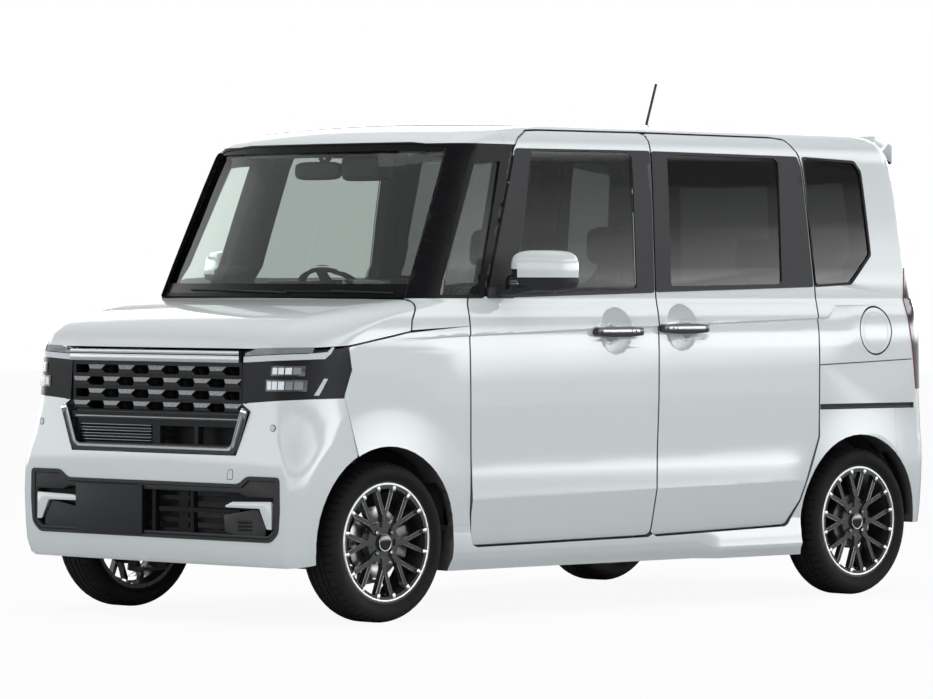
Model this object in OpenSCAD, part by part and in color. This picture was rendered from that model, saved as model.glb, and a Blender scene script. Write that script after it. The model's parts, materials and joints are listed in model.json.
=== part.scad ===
// Tall kei-class wagon: hollow cabin, hinged front doors, lids and steered wheels.
// Front faces -Y, the car's left is +X, the road is Z = 0.

/* [Overall] */
// Length over both bumpers
body_len = 3395; // [3340:5:3400]
// Width over the door skins
body_w = 1475; // [1440:5:1480]
// Height of the roof above the road
body_h = 1790; // [1740:5:1840]
// Nose to front axle
front_overhang = 457.5; // [445:2.5:470]
// Rear axle to tail
rear_overhang = 417.5; // [405:2.5:430]

/* [Walls] */
// Thickness of a door
door_t = 58; // [45:1:64]
// Thickness of the whole side wall
wall_t = 90; // [84:1:100]
// Thickness of the roof with its lining
roof_t = 44; // [30:1:60]
// Thickness of bonnet, bumper and wing skins with their frames
skin_t = 30; // [22:1:36]
// Thickness of the tailgate
gate_t = 70; // [50:1:85]
// Thickness of a pane
glass_t = 5; // [4:0.5:7]
// Shut gap round moving panels
shut_gap = 7; // [6:0.5:9]
// Seam between fixed panels
seam = 0.4; // [0.3:0.1:1]

/* [Doors] */
// Front axle to the front edge of the front door
door_front_d = 405; // [395:1:420]
// Front axle to the line between the doors
door_split_d = 1377; // [1340:1:1400]
// Rear axle to the rear edge of the sliding door
slide_rear_d = 246; // [236:1:262]
// Height of the door bottoms
door_bottom_z = 258; // [250:1:280]
// Height of the seam above the doors
door_top_z = 1742; // [1725:1:1755]
// Height of the belt line at the front
belt_z = 1140; // [1125:1:1155]
// Rise of the belt line to the rear
belt_rise = 46; // [20:1:60]
// Height of the window tops
glass_top_z = 1668; // [1640:1:1685]
// Radius of a door handle recess
handle_r = 52; // [40:1:58]
// Length of a door handle
handle_l = 236; // [200:2:260]

/* [Front] */
// Half width of the grille
grille_half_w = 450; // [430:5:470]
// Top edge of the grille and lamps
grille_top_z = 955; // [945:1:960]
// Lower edge of the grille frame
grille_low_z = 588; // [575:1:605]
// Height of the bright bar
grille_bar_h = 38; // [28:1:46]
// Width of one honeycomb opening
comb_w = 98; // [84:1:112]
// Height of one honeycomb opening
comb_h = 30; // [24:1:34]
// Web between rows of honeycomb openings
comb_web = 13; // [8:1:18]
// Web between neighbouring openings of a row
comb_gap = 62; // [50:1:72]
// Rows of honeycomb openings
comb_rows = 4; // [2:1:4]
// Lower edge of the lower intake
intake_low_z = 300; // [290:1:320]
// Upper edge of the lower intake
intake_top_z = 480; // [465:1:490]
// Body side to the edge of the lower intake
intake_side = 97.5; // [92.5:2.5:137.5]
// Depth of the grilles behind the bumper face
grille_depth = 34; // [26:1:40]

/* [Wheels] */
// Tyre outer diameter
tyre_d = 562; // [550:1:566]
// Tyre section width
tyre_w = 165; // [155:1:168]
// Bead seat diameter of the rim
rim_d = 416; // [400:1:430]
// Width of the rim over its flanges
rim_w = 140; // [132:1:146]
// Distance between wheel centres on one axle
track = 1305; // [1290:1:1310]
// Spokes that each fork in two
spoke_count = 8; // [6:1:8]
// Width of a spoke arm
spoke_w = 15; // [11:1:18]
// Radius of the wheel hub disc
hub_r = 74; // [66:1:80]
// Radius of the stub axle
stub_r = 17; // [14:0.5:20]
// Radial play of the wheel on its stub axle
bearing_play = 0.08; // [0.05:0.01:0.15]
// Radius of a front brake disc
disc_r = 126; // [115:1:135]
// Radius of a wheel arch
arch_r = 334; // [328:1:342]

/* [Inside] */
// Height of the cabin floor
floor_z = 262; // [245:1:280]
// Thickness of the floor
floor_t = 46; // [36:1:56]
// Height of the front cushion tops
seat_z = 640; // [600:5:680]
// Width of a front seat
seat_w = 500; // [460:5:520]
// Rim diameter of the steering wheel
steer_d = 370; // [350:2:384]
// Height of the hub of the steering wheel
steer_z = 1090; // [1060:5:1110]
// Grip diameter of the steering wheel
steer_grip = 28; // [24:1:34]

/* [Lids] */
// Radius of the fuel lid
fuel_r = 88; // [75:1:95]
// Thickness of the fuel lid
fuel_t = 14; // [10:1:18]
// Length of the whip aerial
aerial_l = 172; // [120:2:190]

/* [Hidden] */
$fn = 48;
EDGE_FN = 8;
drawn_h = 1790;
drawn_wheelbase = 2520;
sky_z = body_h + 210;
nose_y = -body_len / 2;
tail_y = body_len / 2;
half_w = body_w / 2;
intake_half_w = half_w - intake_side;
front_axle = nose_y + front_overhang;
rear_axle = tail_y - rear_overhang;
wheelbase = rear_axle - front_axle;
axle_z = tyre_d / 2;
wheel_x = track / 2;
foot_z = 1136;

// Heights above the windscreen foot follow the roof
function up(z) = z <= foot_z ? z : foot_z + (z - foot_z) * (body_h - foot_z) / (drawn_h - foot_z);
function fy(d) = front_axle + d;
// Places in the cabin follow the wheelbase
function along(d) = front_axle + d * wheelbase / drawn_wheelbase;
function ry(d) = rear_axle + d;
function ramp(v, a, b) = min(max((v - a) / (b - a), 0), 1);

// Horizontal sections of the outer skin, one row a height
HEIGHT = 0;
NOSE = 1;
BOW = 2;
CORNER_W = 3;
CORNER_L = 4;
SIDE = 5;
TAIL = 6;
REAR_R = 7;
SECTIONS = [
    // height, nose setback, front bow, corner width, corner length, side inset, tail setback, rear corner
    [170, 60, 8, 70, 90, 44, 52, 80],
    [215, 14, 8, 56, 76, 20, 20, 78],
    [260, 4, 8, 52, 72, 12, 9, 76],
    [330, 1, 8, 50, 70, 8, 3, 74],
    [440, 0, 8, 52, 72, 2, 0, 74],
    [520, 0, 8, 60, 88, 0, 0, 74],
    [580, 2, 9, 78, 126, 0, 2, 76],
    [640, 6, 11, 106, 180, 0, 7, 79],
    [760, 11, 14, 140, 234, 0, 14, 82],
    [880, 15, 16, 152, 246, 0, 18, 82],
    [950, 18, 18, 156, 250, 0, 20, 82],
    [1000, 34, 25, 160, 260, 1, 23, 82],
    [1035, 68, 40, 164, 266, 4, 25, 82],
    [1065, 130, 60, 164, 270, 8, 27, 82],
    [1090, 228, 80, 158, 268, 13, 29, 82],
    [1110, 345, 95, 146, 250, 18, 31, 83],
    [1125, 468, 102, 116, 190, 21, 33, 84],
    [1136, 556, 95, 70, 90, 24, 34, 84],
    [1250, 611, 92, 64, 84, 36, 44, 86],
    [1400, 684, 88, 60, 80, 51, 57, 88],
    [1550, 757, 82, 56, 76, 67, 78, 90],
    [1650, 806, 78, 54, 74, 80, 98, 92],
    [1690, 830, 80, 60, 80, 87, 110, 95],
    [1715, 854, 90, 75, 95, 97, 119, 100],
    [1735, 890, 110, 95, 120, 111, 130, 110],
    [1750, 940, 140, 130, 160, 130, 142, 130],
    [1762, 1006, 180, 170, 210, 155, 158, 160],
    [1772, 1096, 230, 220, 270, 195, 184, 200],
    [1780, 1216, 280, 250, 300, 256, 232, 230],
    [1786, 1376, 300, 250, 300, 346, 340, 230],
    [1790, 1604, 260, 150, 200, 480, 560, 150]
];
// Steps along front, front corner and rear corner, for outer faces and for linings
FINE = [4, 6, 4];
COARSE = [2, 3, 2];
LINING = [0, 3, 7, 10, 13, 16, 17, 19, 21, 23, 25, 27, 30];
rear_bow = 14;

// Half outline of one section, inset by g, from the front middle to the rear middle
function half_outline(r, g, n) =
    let (w = half_w - r[SIDE] - g,
         cw = max(r[CORNER_W] - g, 14),
         cl = max(r[CORNER_L] - g, 14),
         rr = max(r[REAR_R] - g, 14),
         yf = nose_y + r[NOSE] + g,
         yr = tail_y - r[TAIL] - g,
         xs = w - cw)
    concat(
        [for (i = [0 : n[0]]) let (x = xs * i / n[0]) [x, yf + r[BOW] * pow(x / w, 2)]],
        [for (i = [1 : n[1]]) let (a = 90 * i / n[1], x = xs + cw * sin(a))
            [x, yf + r[BOW] * pow(x / w, 2) + cl * (1 - cos(a))]],
        [for (i = [n[2] : -1 : 0]) let (a = 90 * i / n[2], x = w - rr + rr * sin(a))
            [x, yr - rear_bow * pow(x / w, 2) - rr * (1 - cos(a))]],
        [[0, yr]]);

function outline(r, g, steps) =
    let (h = half_outline(r, g, steps), n = len(h))
    concat(h, [for (i = [n - 2 : -1 : 1]) [-h[i][0], h[i][1]]]);

// The skin as one loft, inset by g and lowered by drop above the bonnet line
module loft(g = 0, drop = 0, fine = true) {
    steps = fine ? FINE : COARSE;
    rows = fine ? SECTIONS : [for (i = LINING) SECTIONS[i]];
    n = len(outline(rows[0], 0, steps));
    last = len(rows) - 1;
    low = g > 0 ? 60 : 0;
    pts = [for (k = [0 : last])
           let (r = rows[k], z = up(r[HEIGHT]) - drop * ramp(r[HEIGHT], 900, 1000) - (k == 0 ? low : 0))
           for (p = outline(r, g, steps)) [p[0], p[1], z]];
    sides = [for (k = [0 : last - 1]) for (i = [0 : n - 1]) let (j = (i + 1) % n)
             each [[k * n + i, (k + 1) * n + i, (k + 1) * n + j], [k * n + i, (k + 1) * n + j, k * n + j]]];
    polyhedron(pts, concat([[for (i = [0 : n - 1]) i]],
                           [[for (i = [n - 1 : -1 : 0]) last * n + i]], sides), convexity = 8);
}

// Pressed and moulded skins are kept as one faceted piece
module moulded() {
    resize([0, 0, 0]) children();
}

// Outer skin less an inner one: panes follow it closely, walls have a plainer lining
module shell(g0, g1, drop) {
    difference() {
        loft(g0, 0);
        loft(g1, drop, g1 - g0 < 16);
    }
}

// Outline in side view (y, z) pushed along x
module side_prism(x0, x1) {
    translate([x0, 0, 0])
        rotate([90, 0, 90])
            linear_extrude(x1 - x0)
                children();
}

// Outline in front view (x, z) pushed along y
module front_prism(y0, y1) {
    translate([0, y1, 0])
        rotate([90, 0, 0])
            linear_extrude(y1 - y0)
                children();
}

module both() {
    children();
    mirror([1, 0, 0]) children();
}

module soft(r) {
    offset(r, $fn = EDGE_FN) offset(-r, $fn = EDGE_FN) children();
}

// Left and right halves of a front-view outline made alike
module even() {
    union() {
        children();
        mirror([1, 0]) children();
    }
}

module block(x0, x1, y0, y1, z0, z1) {
    translate([x0, y0, z0]) cube([x1 - x0, y1 - y0, z1 - z0]);
}

// Cylinder along x from x0 to x1 about (y, z)
module rod_x(r, x0, x1, y, z) {
    translate([x0, y, z]) rotate([0, 90, 0]) cylinder(r = r, h = x1 - x0);
}

// Side-view outlines
door_front = fy(door_front_d);
door_split = along(door_split_d);
slide_rear = ry(-slide_rear_d);
function belt(y) = belt_z + belt_rise * (y - door_front) / (slide_rear - door_front);
top_z = up(door_top_z);
pane_top = up(glass_top_z);
frame_low = [door_front + 92, belt_z + 2];
frame_high = [door_front + 296, pane_top + 6];

module front_door_shape() {
    soft(24) polygon([
        [door_front + 20, door_bottom_z], [door_front + 4, door_bottom_z + 110], [door_front, 640],
        [door_front, belt_z], frame_low, frame_high, [door_front + 330, top_z - 32],
        [door_front + 392, top_z - 3], [door_front + 450, top_z], [door_split + 44, top_z + 2],
        [door_split + 8, belt(door_split)], [door_split, 762], [door_split - 22, door_bottom_z + 8]]);
}

module slide_door_shape() {
    soft(24) polygon([
        [door_split - 22, door_bottom_z + 8], [door_split, 762], [door_split + 8, belt(door_split)],
        [door_split + 44, top_z + 2], [slide_rear - 150, top_z - 1], [slide_rear - 82, top_z - 8],
        [slide_rear - 34, pane_top + 12], [slide_rear - 20, pane_top - 40], [slide_rear, belt(slide_rear)],
        [slide_rear, 902], [slide_rear - 4, 610], [slide_rear - 106, 372],
        [slide_rear - 176, door_bottom_z + 24]]);
}

module front_pane_shape() {
    soft(16) polygon([
        [door_front + 246, belt_z + 6], [frame_low[0] + 148, belt_z + 30], [frame_high[0] + 84, pane_top],
        [door_split - 62, pane_top + 4], [door_split - 90, belt(door_split) + 4]]);
}

module slide_pane_shape() {
    soft(16) polygon([
        [door_split + 96, belt(door_split) + 16], [door_split + 128, pane_top],
        [slide_rear - 152, pane_top - 4], [slide_rear - 184, belt(slide_rear) + 4]]);
}

module quarter_pane_shape() {
    soft(16) polygon([
        [slide_rear + 12, belt(slide_rear) + 2], [slide_rear - 6, pane_top - 2],
        [slide_rear + 282, pane_top - 14],
        [slide_rear + 314, pane_top - 50], [slide_rear + 334, belt(slide_rear) + 118],
        [slide_rear + 212, belt(slide_rear) + 12]]);
}

module vent_pane_shape() {
    soft(8) polygon([
        [door_front - 150, belt_z + 4], [door_front + 78, pane_top - 46], [door_front + 226, pane_top - 34],
        [door_front + 68, belt_z + 4]]);
}

// Front-view outlines
module windscreen_shape() {
    even() soft(30) polygon([
        [-662, belt_z + 10], [662, belt_z + 10], [606, pane_top + 6], [420, pane_top + 20],
        [-420, pane_top + 20], [-606, pane_top + 6]]);
}

module lamp_shape() {
    polygon([
        [grille_half_w + 6, 770], [half_w + 40, 792], [half_w + 40, grille_top_z + 15],
        [grille_half_w + 60, grille_top_z + 10], [grille_half_w, grille_top_z - 6]]);
}

module lamp_side_shape() {
    polygon([
        [nose_y - 40, 740], [fy(-219), 740], [fy(-219), 790], [fy(-181), 888],
        [fy(-195), grille_top_z + 15], [nose_y - 40, grille_top_z + 15]]);
}

module grille_shape() {
    polygon([
        [-grille_half_w, grille_top_z], [grille_half_w, grille_top_z], [grille_half_w + 2, 772],
        [grille_half_w + 48, 742], [grille_half_w - 14, grille_low_z], [14 - grille_half_w, grille_low_z],
        [-grille_half_w - 48, 742], [-grille_half_w - 2, 772]]);
}

module intake_shape() {
    even() soft(6) polygon([
        [-intake_half_w + 30, intake_low_z], [intake_half_w - 30, intake_low_z],
        [intake_half_w, intake_low_z + 24],
        [intake_half_w, intake_top_z + 26], [intake_half_w - 140, intake_top_z + 26],
        [intake_half_w - 176, intake_top_z], [-intake_half_w + 176, intake_top_z],
        [-intake_half_w + 140, intake_top_z + 26], [-intake_half_w, intake_top_z + 26],
        [-intake_half_w, intake_low_z + 24]]);
}

module gate_shape() {
    even() soft(20) polygon([
        [-636, 596], [636, 596], [640, 1250], [618, up(1500)], [580, up(1660)], [560, up(1820)],
        [-560, up(1820)], [-580, up(1660)], [-618, up(1500)], [-640, 1250]]);
}

module gate_pane_shape() {
    even() soft(40) polygon([
        [-560, 1150], [560, 1150], [530, up(1600)], [-530, up(1600)]]);
}

gate_seam = tail_y - 166;
gate_gap = 12;
gate_pin_r = 3.5;
gate_pin_y = gate_seam - gate_gap + gate_pin_r + seam;
gate_pin_z = body_h - 36;

module bonnet_side_shape() {
    polygon([
        [nose_y - 60, grille_top_z + 3], [fy(-420), grille_top_z + 6], [fy(-300), grille_top_z + 12],
        [fy(-195), grille_top_z + 18], [fy(105), 1022], [fy(112), 1060], [fy(150), 1122], [fy(160), 1180],
        [nose_y - 60, 1180]]);
}

module bonnet_plan_shape() {
    polygon([
        [-760, nose_y - 60], [760, nose_y - 60], [760, fy(160)], [690, fy(150)], [560, fy(126)],
        [330, fy(96)], [0, fy(84)], [-330, fy(96)], [-560, fy(126)], [-690, fy(150)], [-760, fy(160)]]);
}

module arches() {
    both() {
        rod_x(arch_r, 380, 800, fy(-8), axle_z + 4);
        rod_x(arch_r - 4, wheel_x - tyre_w / 2 - 30, 800, ry(-12), axle_z + 4);
    }
}

// Space behind the bulkhead and inside the walls
bulkhead_y = fy(365);
load_z = 480;
step_y = ry(-420);
module cabin_space() {
    intersection() {
        loft(wall_t, roof_t, false);
        union() {
            block(-800, 800, bulkhead_y, tail_y, 0, sky_z);
            block(-800, 800, nose_y, tail_y, foot_z - 10, sky_z);
        }
    }
}

module floor_pan() {
    color("#3a3d40") moulded() {
        difference() {
            intersection() {
                union() {
                    block(-800, 800, bulkhead_y - 20, step_y, floor_z - floor_t, floor_z);
                    block(-800, 800, step_y - 12, step_y, floor_z - floor_t, load_z);
                    block(-800, 800, step_y - 12, tail_y - 90, load_z - 40, load_z);
                    block(-800, 800, bulkhead_y - 40, bulkhead_y, floor_z - floor_t, 1092);
                    block(-430, 290, door_split - 420, door_split + 160, floor_z - floor_t - 52, floor_z - 4);
                    both() {
                        intersection() {
                            rod_x(arch_r + 14, wheel_x - tyre_w / 2 - 44, 700, ry(-12), axle_z + 4);
                            block(0, 800, 0, tail_y, load_z - 40, 900);
                        }
                        block(wheel_x - 150, wheel_x - 82, ry(-392), ry(-330),
                              axle_z + 18 + seam, load_z - 20);
                    }
                }
                loft(wall_t + seam, roof_t, false);
            }
            both() rod_x(arch_r, wheel_x - tyre_w / 2 - 30, 800, ry(-12), axle_z + 4);
        }
        both() difference() {
            block(480, 640, fy(-70), bulkhead_y - 20, strut_top - 20, strut_top);
            at_king() cylinder(r = 11 + seam, h = 700);
        }
    }
}

// Room kept round the doors on both sides
module door_shut_space() {
    both() difference() {
        side_prism(400, 800) offset(shut_gap, $fn = EDGE_FN) front_door_shape();
        loft(door_t + seam, roof_t * 0.7 + seam, false);
    }
}

module body_sides() {
    color("#eef0f2") moulded() difference() {
        both() difference() {
            intersection() {
                shell(0, wall_t, roof_t);
                side_prism(480, 800) polygon([
                    [fy(105), 1024], [door_front - shut_gap + seam, 1024 + 14],
                    [door_front - shut_gap + seam, 640],
                    [door_front - shut_gap + 4 + seam, 330], [fy(326), 330],
                    [fy(326), 150], [ry(-350), 150], [tail_y + 20, 712], [tail_y + 20, top_z - 1],
                    [door_front + 250, top_z - 1], [door_front + 250, pane_top + 22],
                    [fy(240), pane_top + 22],
                    [fy(160) + seam, 1180], [fy(160) + seam, 1124], [fy(118), 1060]]);
            }
            side_prism(400, 800) offset(seam, $fn = EDGE_FN) vent_pane_shape();
            side_prism(400, 800) offset(seam, $fn = EDGE_FN) quarter_pane_shape();
            side_prism(300, 800) offset(-34, $fn = EDGE_FN) front_door_shape();
            side_prism(300, 800) offset(-34, $fn = EDGE_FN) slide_door_shape();
            difference() {
                side_prism(400, 800) {
                    offset(shut_gap, $fn = EDGE_FN) front_door_shape();
                    offset(shut_gap, $fn = EDGE_FN) slide_door_shape();
                }
                loft(door_t + seam, roof_t * 0.7 + seam, false);
            }
            side_prism(300, 800) offset(shut_gap, $fn = EDGE_FN) bonnet_side_shape();
            front_prism(nose_y, fy(700)) offset(seam, $fn = EDGE_FN) windscreen_shape();
            block(-900, 640, nose_y, fy(700), 0, belt_z + 60);
            block(-900, 560, nose_y, fy(900), 0, sky_z);
            front_prism(tail_y - 260, tail_y + 40) offset(shut_gap, $fn = EDGE_FN) gate_shape();
            block(-900, 560, gate_seam - 120, tail_y + 40, 0, sky_z);
            tail_lamp_space(seam);
            bumper_rear_space(seam);
            rod_x(arch_r - 4, wheel_x - tyre_w / 2 - 30, 800, ry(-12), axle_z + 4);
            block(half_w - 16, 800, slide_rear + 6, tail_y - 110, 713, 734);
            block(-900, 800, gate_seam, tail_y + 40, top_z - 40, sky_z);
        }
        fuel_space();
        translate([half_w - fuel_pin_d, fuel_y - fuel_r + 3, fuel_z - 60])
            cylinder(r = 3.4, h = 120, $fn = 12);
    }
}

fuel_pin_d = 4;

fuel_y = ry(85);
fuel_z = 1012;
module fuel_space() {
    rod_x(fuel_r + shut_gap, half_w - 44, 800, fuel_y, fuel_z, $fn = 32);
}

module tail_lamp_space(g) {
    intersection() {
        side_prism(560, 800) offset(g, $fn = EDGE_FN) polygon([
            [tail_y - 96, 786], [tail_y - 150, 1130], [tail_y - 128, 1252],
            [tail_y + 40, 1252], [tail_y + 40, 786]]);
        block(648 - g, 900, tail_y - 300, tail_y + 60, 700, 1400);
    }
}

module bumper_rear_space(g) {
    side_prism(-20, 900) offset(g, $fn = EDGE_FN) polygon([
        [ry(200), 200], [ry(200), 712], [tail_y + 60, 712], [tail_y + 60, 200]]);
}

module roof_panel() {
    color("#eef0f2") moulded() difference() {
        intersection() {
            shell(0, wall_t, roof_t);
            side_prism(-800, 800) polygon([
                [nose_y, pane_top + 22 + seam], [door_front + 250 - seam, pane_top + 22 + seam],
                [door_front + 250 - seam, top_z - 1 + seam], [gate_seam - gate_gap, top_z - 1 + seam],
                [gate_seam - gate_gap, sky_z], [nose_y, sky_z]]);
        }
        both() side_prism(400, 800) {
            offset(shut_gap, $fn = EDGE_FN) front_door_shape();
            offset(shut_gap, $fn = EDGE_FN) slide_door_shape();
            translate([door_split + 8, top_z - 30]) square([76, 32 + shut_gap]);
        }
        front_prism(nose_y, fy(700)) offset(seam, $fn = EDGE_FN) windscreen_shape();
    }
}

aerial_y = ry(-425);
module antenna() {
    color("#1c1d1f") {
        translate([0, aerial_y, body_h + seam]) {
            cylinder(r = 17, h = 14);
            translate([0, 0, 10]) rotate([-19, 0, 0]) cylinder(r = 5, h = aerial_l);
        }
    }
}

module front_fenders() {
    color("#eef0f2") moulded() both() difference() {
        intersection() {
            union() {
                shell(0, skin_t, 0);
                intersection() {
                    loft(skin_t / 2, 0, false);
                    difference() {
                        rod_x(arch_r + 12, 650, 735, fy(-8), axle_z + 4);
                        rod_x(arch_r, 300, 800, fy(-8), axle_z + 4);
                        block(0, 800, nose_y, fy(500), -100, 330);
                        block(0, 800, nose_y, fy(-240), -100, sky_z);
                        block(0, 800, fy(260), fy(600), -100, sky_z);
                    }
                }
            }
            side_prism(400, 800) polygon([
                [fy(-190), grille_top_z + 17], [fy(-214), 790], [fy(-152), 590], [fy(-152), 400],
                [fy(80), 210], [door_front - shut_gap + 14, 210], [door_front - shut_gap + 4, 330],
                [door_front - shut_gap, 640], [door_front - shut_gap, 1024 + 13],
                [fy(105), 1022 - shut_gap]]);
        }
        arches();
        block(-900, 800, fy(326 - seam), fy(600), 0, 330 + seam);
        block(-900, 800, fy(200), fy(600), 0, 290);
        side_prism(300, 800) offset(seam, $fn = EDGE_FN) lamp_side_shape();
        side_prism(300, 800) offset(shut_gap, $fn = EDGE_FN) bonnet_side_shape();
        door_shut_space();
    }
}

module front_bumper() {
    color("#eef0f2") moulded() difference() {
        intersection() {
            shell(0, skin_t + 14, 0);
            side_prism(-800, 800) polygon([
                [nose_y - 20, 196], [fy(-330), 214], [fy(-154), 214], [fy(-154) - seam, 588],
                [fy(-216) - seam, 790], [fy(-300), 792], [fy(-300), grille_top_z - 2],
                [nose_y - 20, grille_top_z - 2]]);
        }
        arches();
        both() intersection() {
            front_prism(nose_y - 60, fy(0)) offset(seam, $fn = EDGE_FN) lamp_shape();
            side_prism(300, 800) offset(seam, $fn = EDGE_FN) lamp_side_shape();
        }
        front_prism(nose_y - 60, fy(0)) offset(seam, $fn = EDGE_FN) grille_shape();
        both() block(grille_half_w - 6, grille_half_w + 30, nose_y - 60, fy(0), 769, grille_top_z + 20);
        front_prism(nose_y - 60, nose_y + 160) offset(seam, $fn = EDGE_FN) intake_shape();
        side_prism(-800, 800) offset(shut_gap, $fn = EDGE_FN) bonnet_side_shape();
    }
}

// Upper grille: honeycomb over slats, bright bar above, deep frame below
grille_face = nose_y + 16;
comb_top_z = grille_top_z - grille_bar_h - 8;
comb_low_z = comb_top_z - comb_rows * (comb_h + comb_web) - comb_web;

module hexagon(w, h) {
    polygon([
        [-w / 2, 0], [-w / 2 + h / 2, h / 2], [w / 2 - h / 2, h / 2], [w / 2, 0], [w / 2 - h / 2, -h / 2],
        [-w / 2 + h / 2, -h / 2]]);
}

// Staggered rows; the openings at the ends are cut off by the grille's border
module comb_holes() {
    comb_half_w = grille_half_w - 16;
    intersection() {
        translate([-comb_half_w, comb_low_z]) square([2 * comb_half_w, comb_top_z - comb_low_z]);
        for (k = [0 : comb_rows - 1]) {
            for (i = [-4 : 3]) {
                x = (i + (k % 2 == 0 ? 0.5 : 0)) * (comb_w + comb_gap);
                z = comb_top_z - comb_web - comb_h / 2 - k * (comb_h + comb_web);
                if (abs(x) < comb_half_w) {
                    translate([x, z]) hexagon(comb_w, comb_h);
                }
            }
        }
    }
}

module upper_grille() {
    color("#1a1b1d") {
        front_prism(grille_face + 8, grille_face + grille_depth) difference() {
            polygon([
                [-grille_half_w + 2, grille_top_z - 2], [grille_half_w - 2, grille_top_z - 2],
                [grille_half_w - 2, 774.6],
                [grille_half_w + 44, 743], [grille_half_w - 16, grille_low_z + 2],
                [16 - grille_half_w, grille_low_z + 2], [-grille_half_w - 44, 743],
                [2 - grille_half_w, 774.6]]);
            comb_holes();
            for (s = [0 : 2]) {
                translate([-grille_half_w + 40, grille_low_z + 34 + s * 24]) square([grille_half_w - 60, 14]);
            }
            translate([20, grille_low_z + 34]) square([180, 62]);
            translate([220, grille_low_z + 34]) square([grille_half_w - 260, 62]);
        }
        front_prism(grille_face - 8, grille_face + 9) {
            translate([-grille_half_w + 2, grille_top_z - 2 - grille_bar_h])
                square([2 * grille_half_w - 4, grille_bar_h]);
        }
        front_prism(grille_face - 2, grille_face + 9) {
            translate([-grille_half_w + 6, comb_low_z - 10]) square([2 * grille_half_w - 12, 16]);
        }
        front_prism(grille_face - 6, grille_face + 9) difference() {
            polygon([
                [-grille_half_w - 44, 743], [-grille_half_w - 10, 752],
                [-grille_half_w + 30, grille_low_z + 26],
                [grille_half_w - 30, grille_low_z + 26], [grille_half_w + 10, 752],
                [grille_half_w + 44, 743],
                [grille_half_w - 16, grille_low_z + 2], [16 - grille_half_w, grille_low_z + 2]]);
            polygon([
                [-grille_half_w - 20, 760], [-grille_half_w + 30, grille_low_z + 26],
                [grille_half_w - 30, grille_low_z + 26], [grille_half_w + 20, 760]]);
        }
    }
}

// Lower intake: backing, uprights, slats, light corner pieces, corner blocks and a blank plate
module lower_grille() {
    color("#1a1b1d") {
        front_prism(nose_y + 34, nose_y + 60) difference() {
            intake_inner_shape();
            for (s = [0 : 3]) {
                for (c = [-1, 0, 1]) {
                    translate([c * 270 - 110, intake_low_z + 26 + s * 38]) square([220, 22]);
                }
            }
        }
        for (x = [-10, 190]) {
            front_prism(nose_y + 14, nose_y + 35)
                translate([x, intake_low_z + 4]) square([18, intake_top_z - intake_low_z - 8]);
        }
        front_prism(nose_y + 12, nose_y + 35)
            translate([30, (intake_low_z + intake_top_z) / 2 - 6]) square([420, 16]);
        both() front_prism(nose_y + 4, nose_y + 35) polygon([
            [intake_half_w - 253, intake_top_z - 73], [intake_half_w - 253, intake_top_z - 65],
            [intake_half_w - 218, intake_top_z - 52], [intake_half_w - 20, intake_top_z - 47],
            [intake_half_w - 18, intake_low_z + 36], [intake_half_w - 43, intake_low_z + 37],
            [intake_half_w - 80, intake_top_z - 73]]);
        both() front_prism(nose_y + 10, nose_y + 35) polygon([
            [intake_half_w - 269, intake_low_z + 80], [intake_half_w - 263, intake_low_z + 22],
            [intake_half_w - 181, intake_low_z + 6], [intake_half_w - 56, intake_low_z + 12],
            [intake_half_w - 52, intake_low_z + 43], [intake_half_w - 92, intake_low_z + 102],
            [intake_half_w - 123, intake_low_z + 102]]);
        front_prism(nose_y + 0.5, nose_y + 35)
            translate([-404, intake_low_z + 2]) square([357, 170]);
    }
}

module intake_inner_shape() {
    polygon([
        [-intake_half_w + 32, intake_low_z + 1], [intake_half_w - 32, intake_low_z + 1],
        [intake_half_w - 2, intake_low_z + 25], [intake_half_w - 2, intake_top_z + 24],
        [intake_half_w - 139, intake_top_z + 24], [intake_half_w - 175, intake_top_z - 2],
        [-intake_half_w + 175, intake_top_z - 2], [-intake_half_w + 139, intake_top_z + 24],
        [-intake_half_w + 2, intake_top_z + 24], [-intake_half_w + 2, intake_low_z + 25]]);
}

module headlamps() {
    color("#30343a") moulded() both() intersection() {
        shell(1, 72, 0);
        front_prism(nose_y - 60, fy(0)) offset(-seam, $fn = EDGE_FN) lamp_shape();
        side_prism(300, 800) offset(-seam, $fn = EDGE_FN) difference() {
            lamp_side_shape();
            offset(shut_gap + 1, $fn = EDGE_FN) bonnet_side_shape();
        }
    }
}

module windscreen() {
    color("#59646b") moulded() intersection() {
        shell(3, 3 + glass_t + 3, 3);
        front_prism(nose_y, fy(560)) windscreen_shape();
    }
}

// Panel under the windscreen with its shelf and the seal under the bonnet's rear edge
module cowl() {
    color("#202224") moulded() {
        difference() {
            intersection() {
                loft(6, 6);
                block(-638, 638, fy(60), bulkhead_y - 60, 1060, belt_z + 9.5);
            }
            loft(40, 40, false);
            linear_extrude(sky_z) offset(shut_gap, $fn = EDGE_FN) bonnet_plan_shape();
        }
        intersection() {
            block(-638, 638, fy(20), bulkhead_y - 40 - seam, 1064, 1080);
            loft(skin_t + 12, skin_t + 12, false);
        }
        difference() {
            intersection() {
                loft(skin_t + seam, skin_t + seam, false);
                block(-600, 600, fy(20), fy(44), 1050, 1200);
            }
            loft(skin_t + 24, skin_t + 24, false);
        }
    }
}

module fixed_glass() {
    color("#2a3036") moulded() both() intersection() {
        shell(3, 3 + glass_t, 3);
        side_prism(400, 800) {
            vent_pane_shape();
            slide_pane_shape();
            quarter_pane_shape();
        }
    }
}

module handle(y, z) {
    translate([half_w - 12, y - handle_l / 2, z - 9]) cube([24, handle_l, 18]);
}

module handle_recess(y, z) {
    intersection() {
        translate([half_w + 26, y, z]) sphere(r = handle_r, $fn = 20);
        block(half_w - 30, half_w + 40, y - 60, y + 60, z - 60, z + 60);
    }
}

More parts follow.
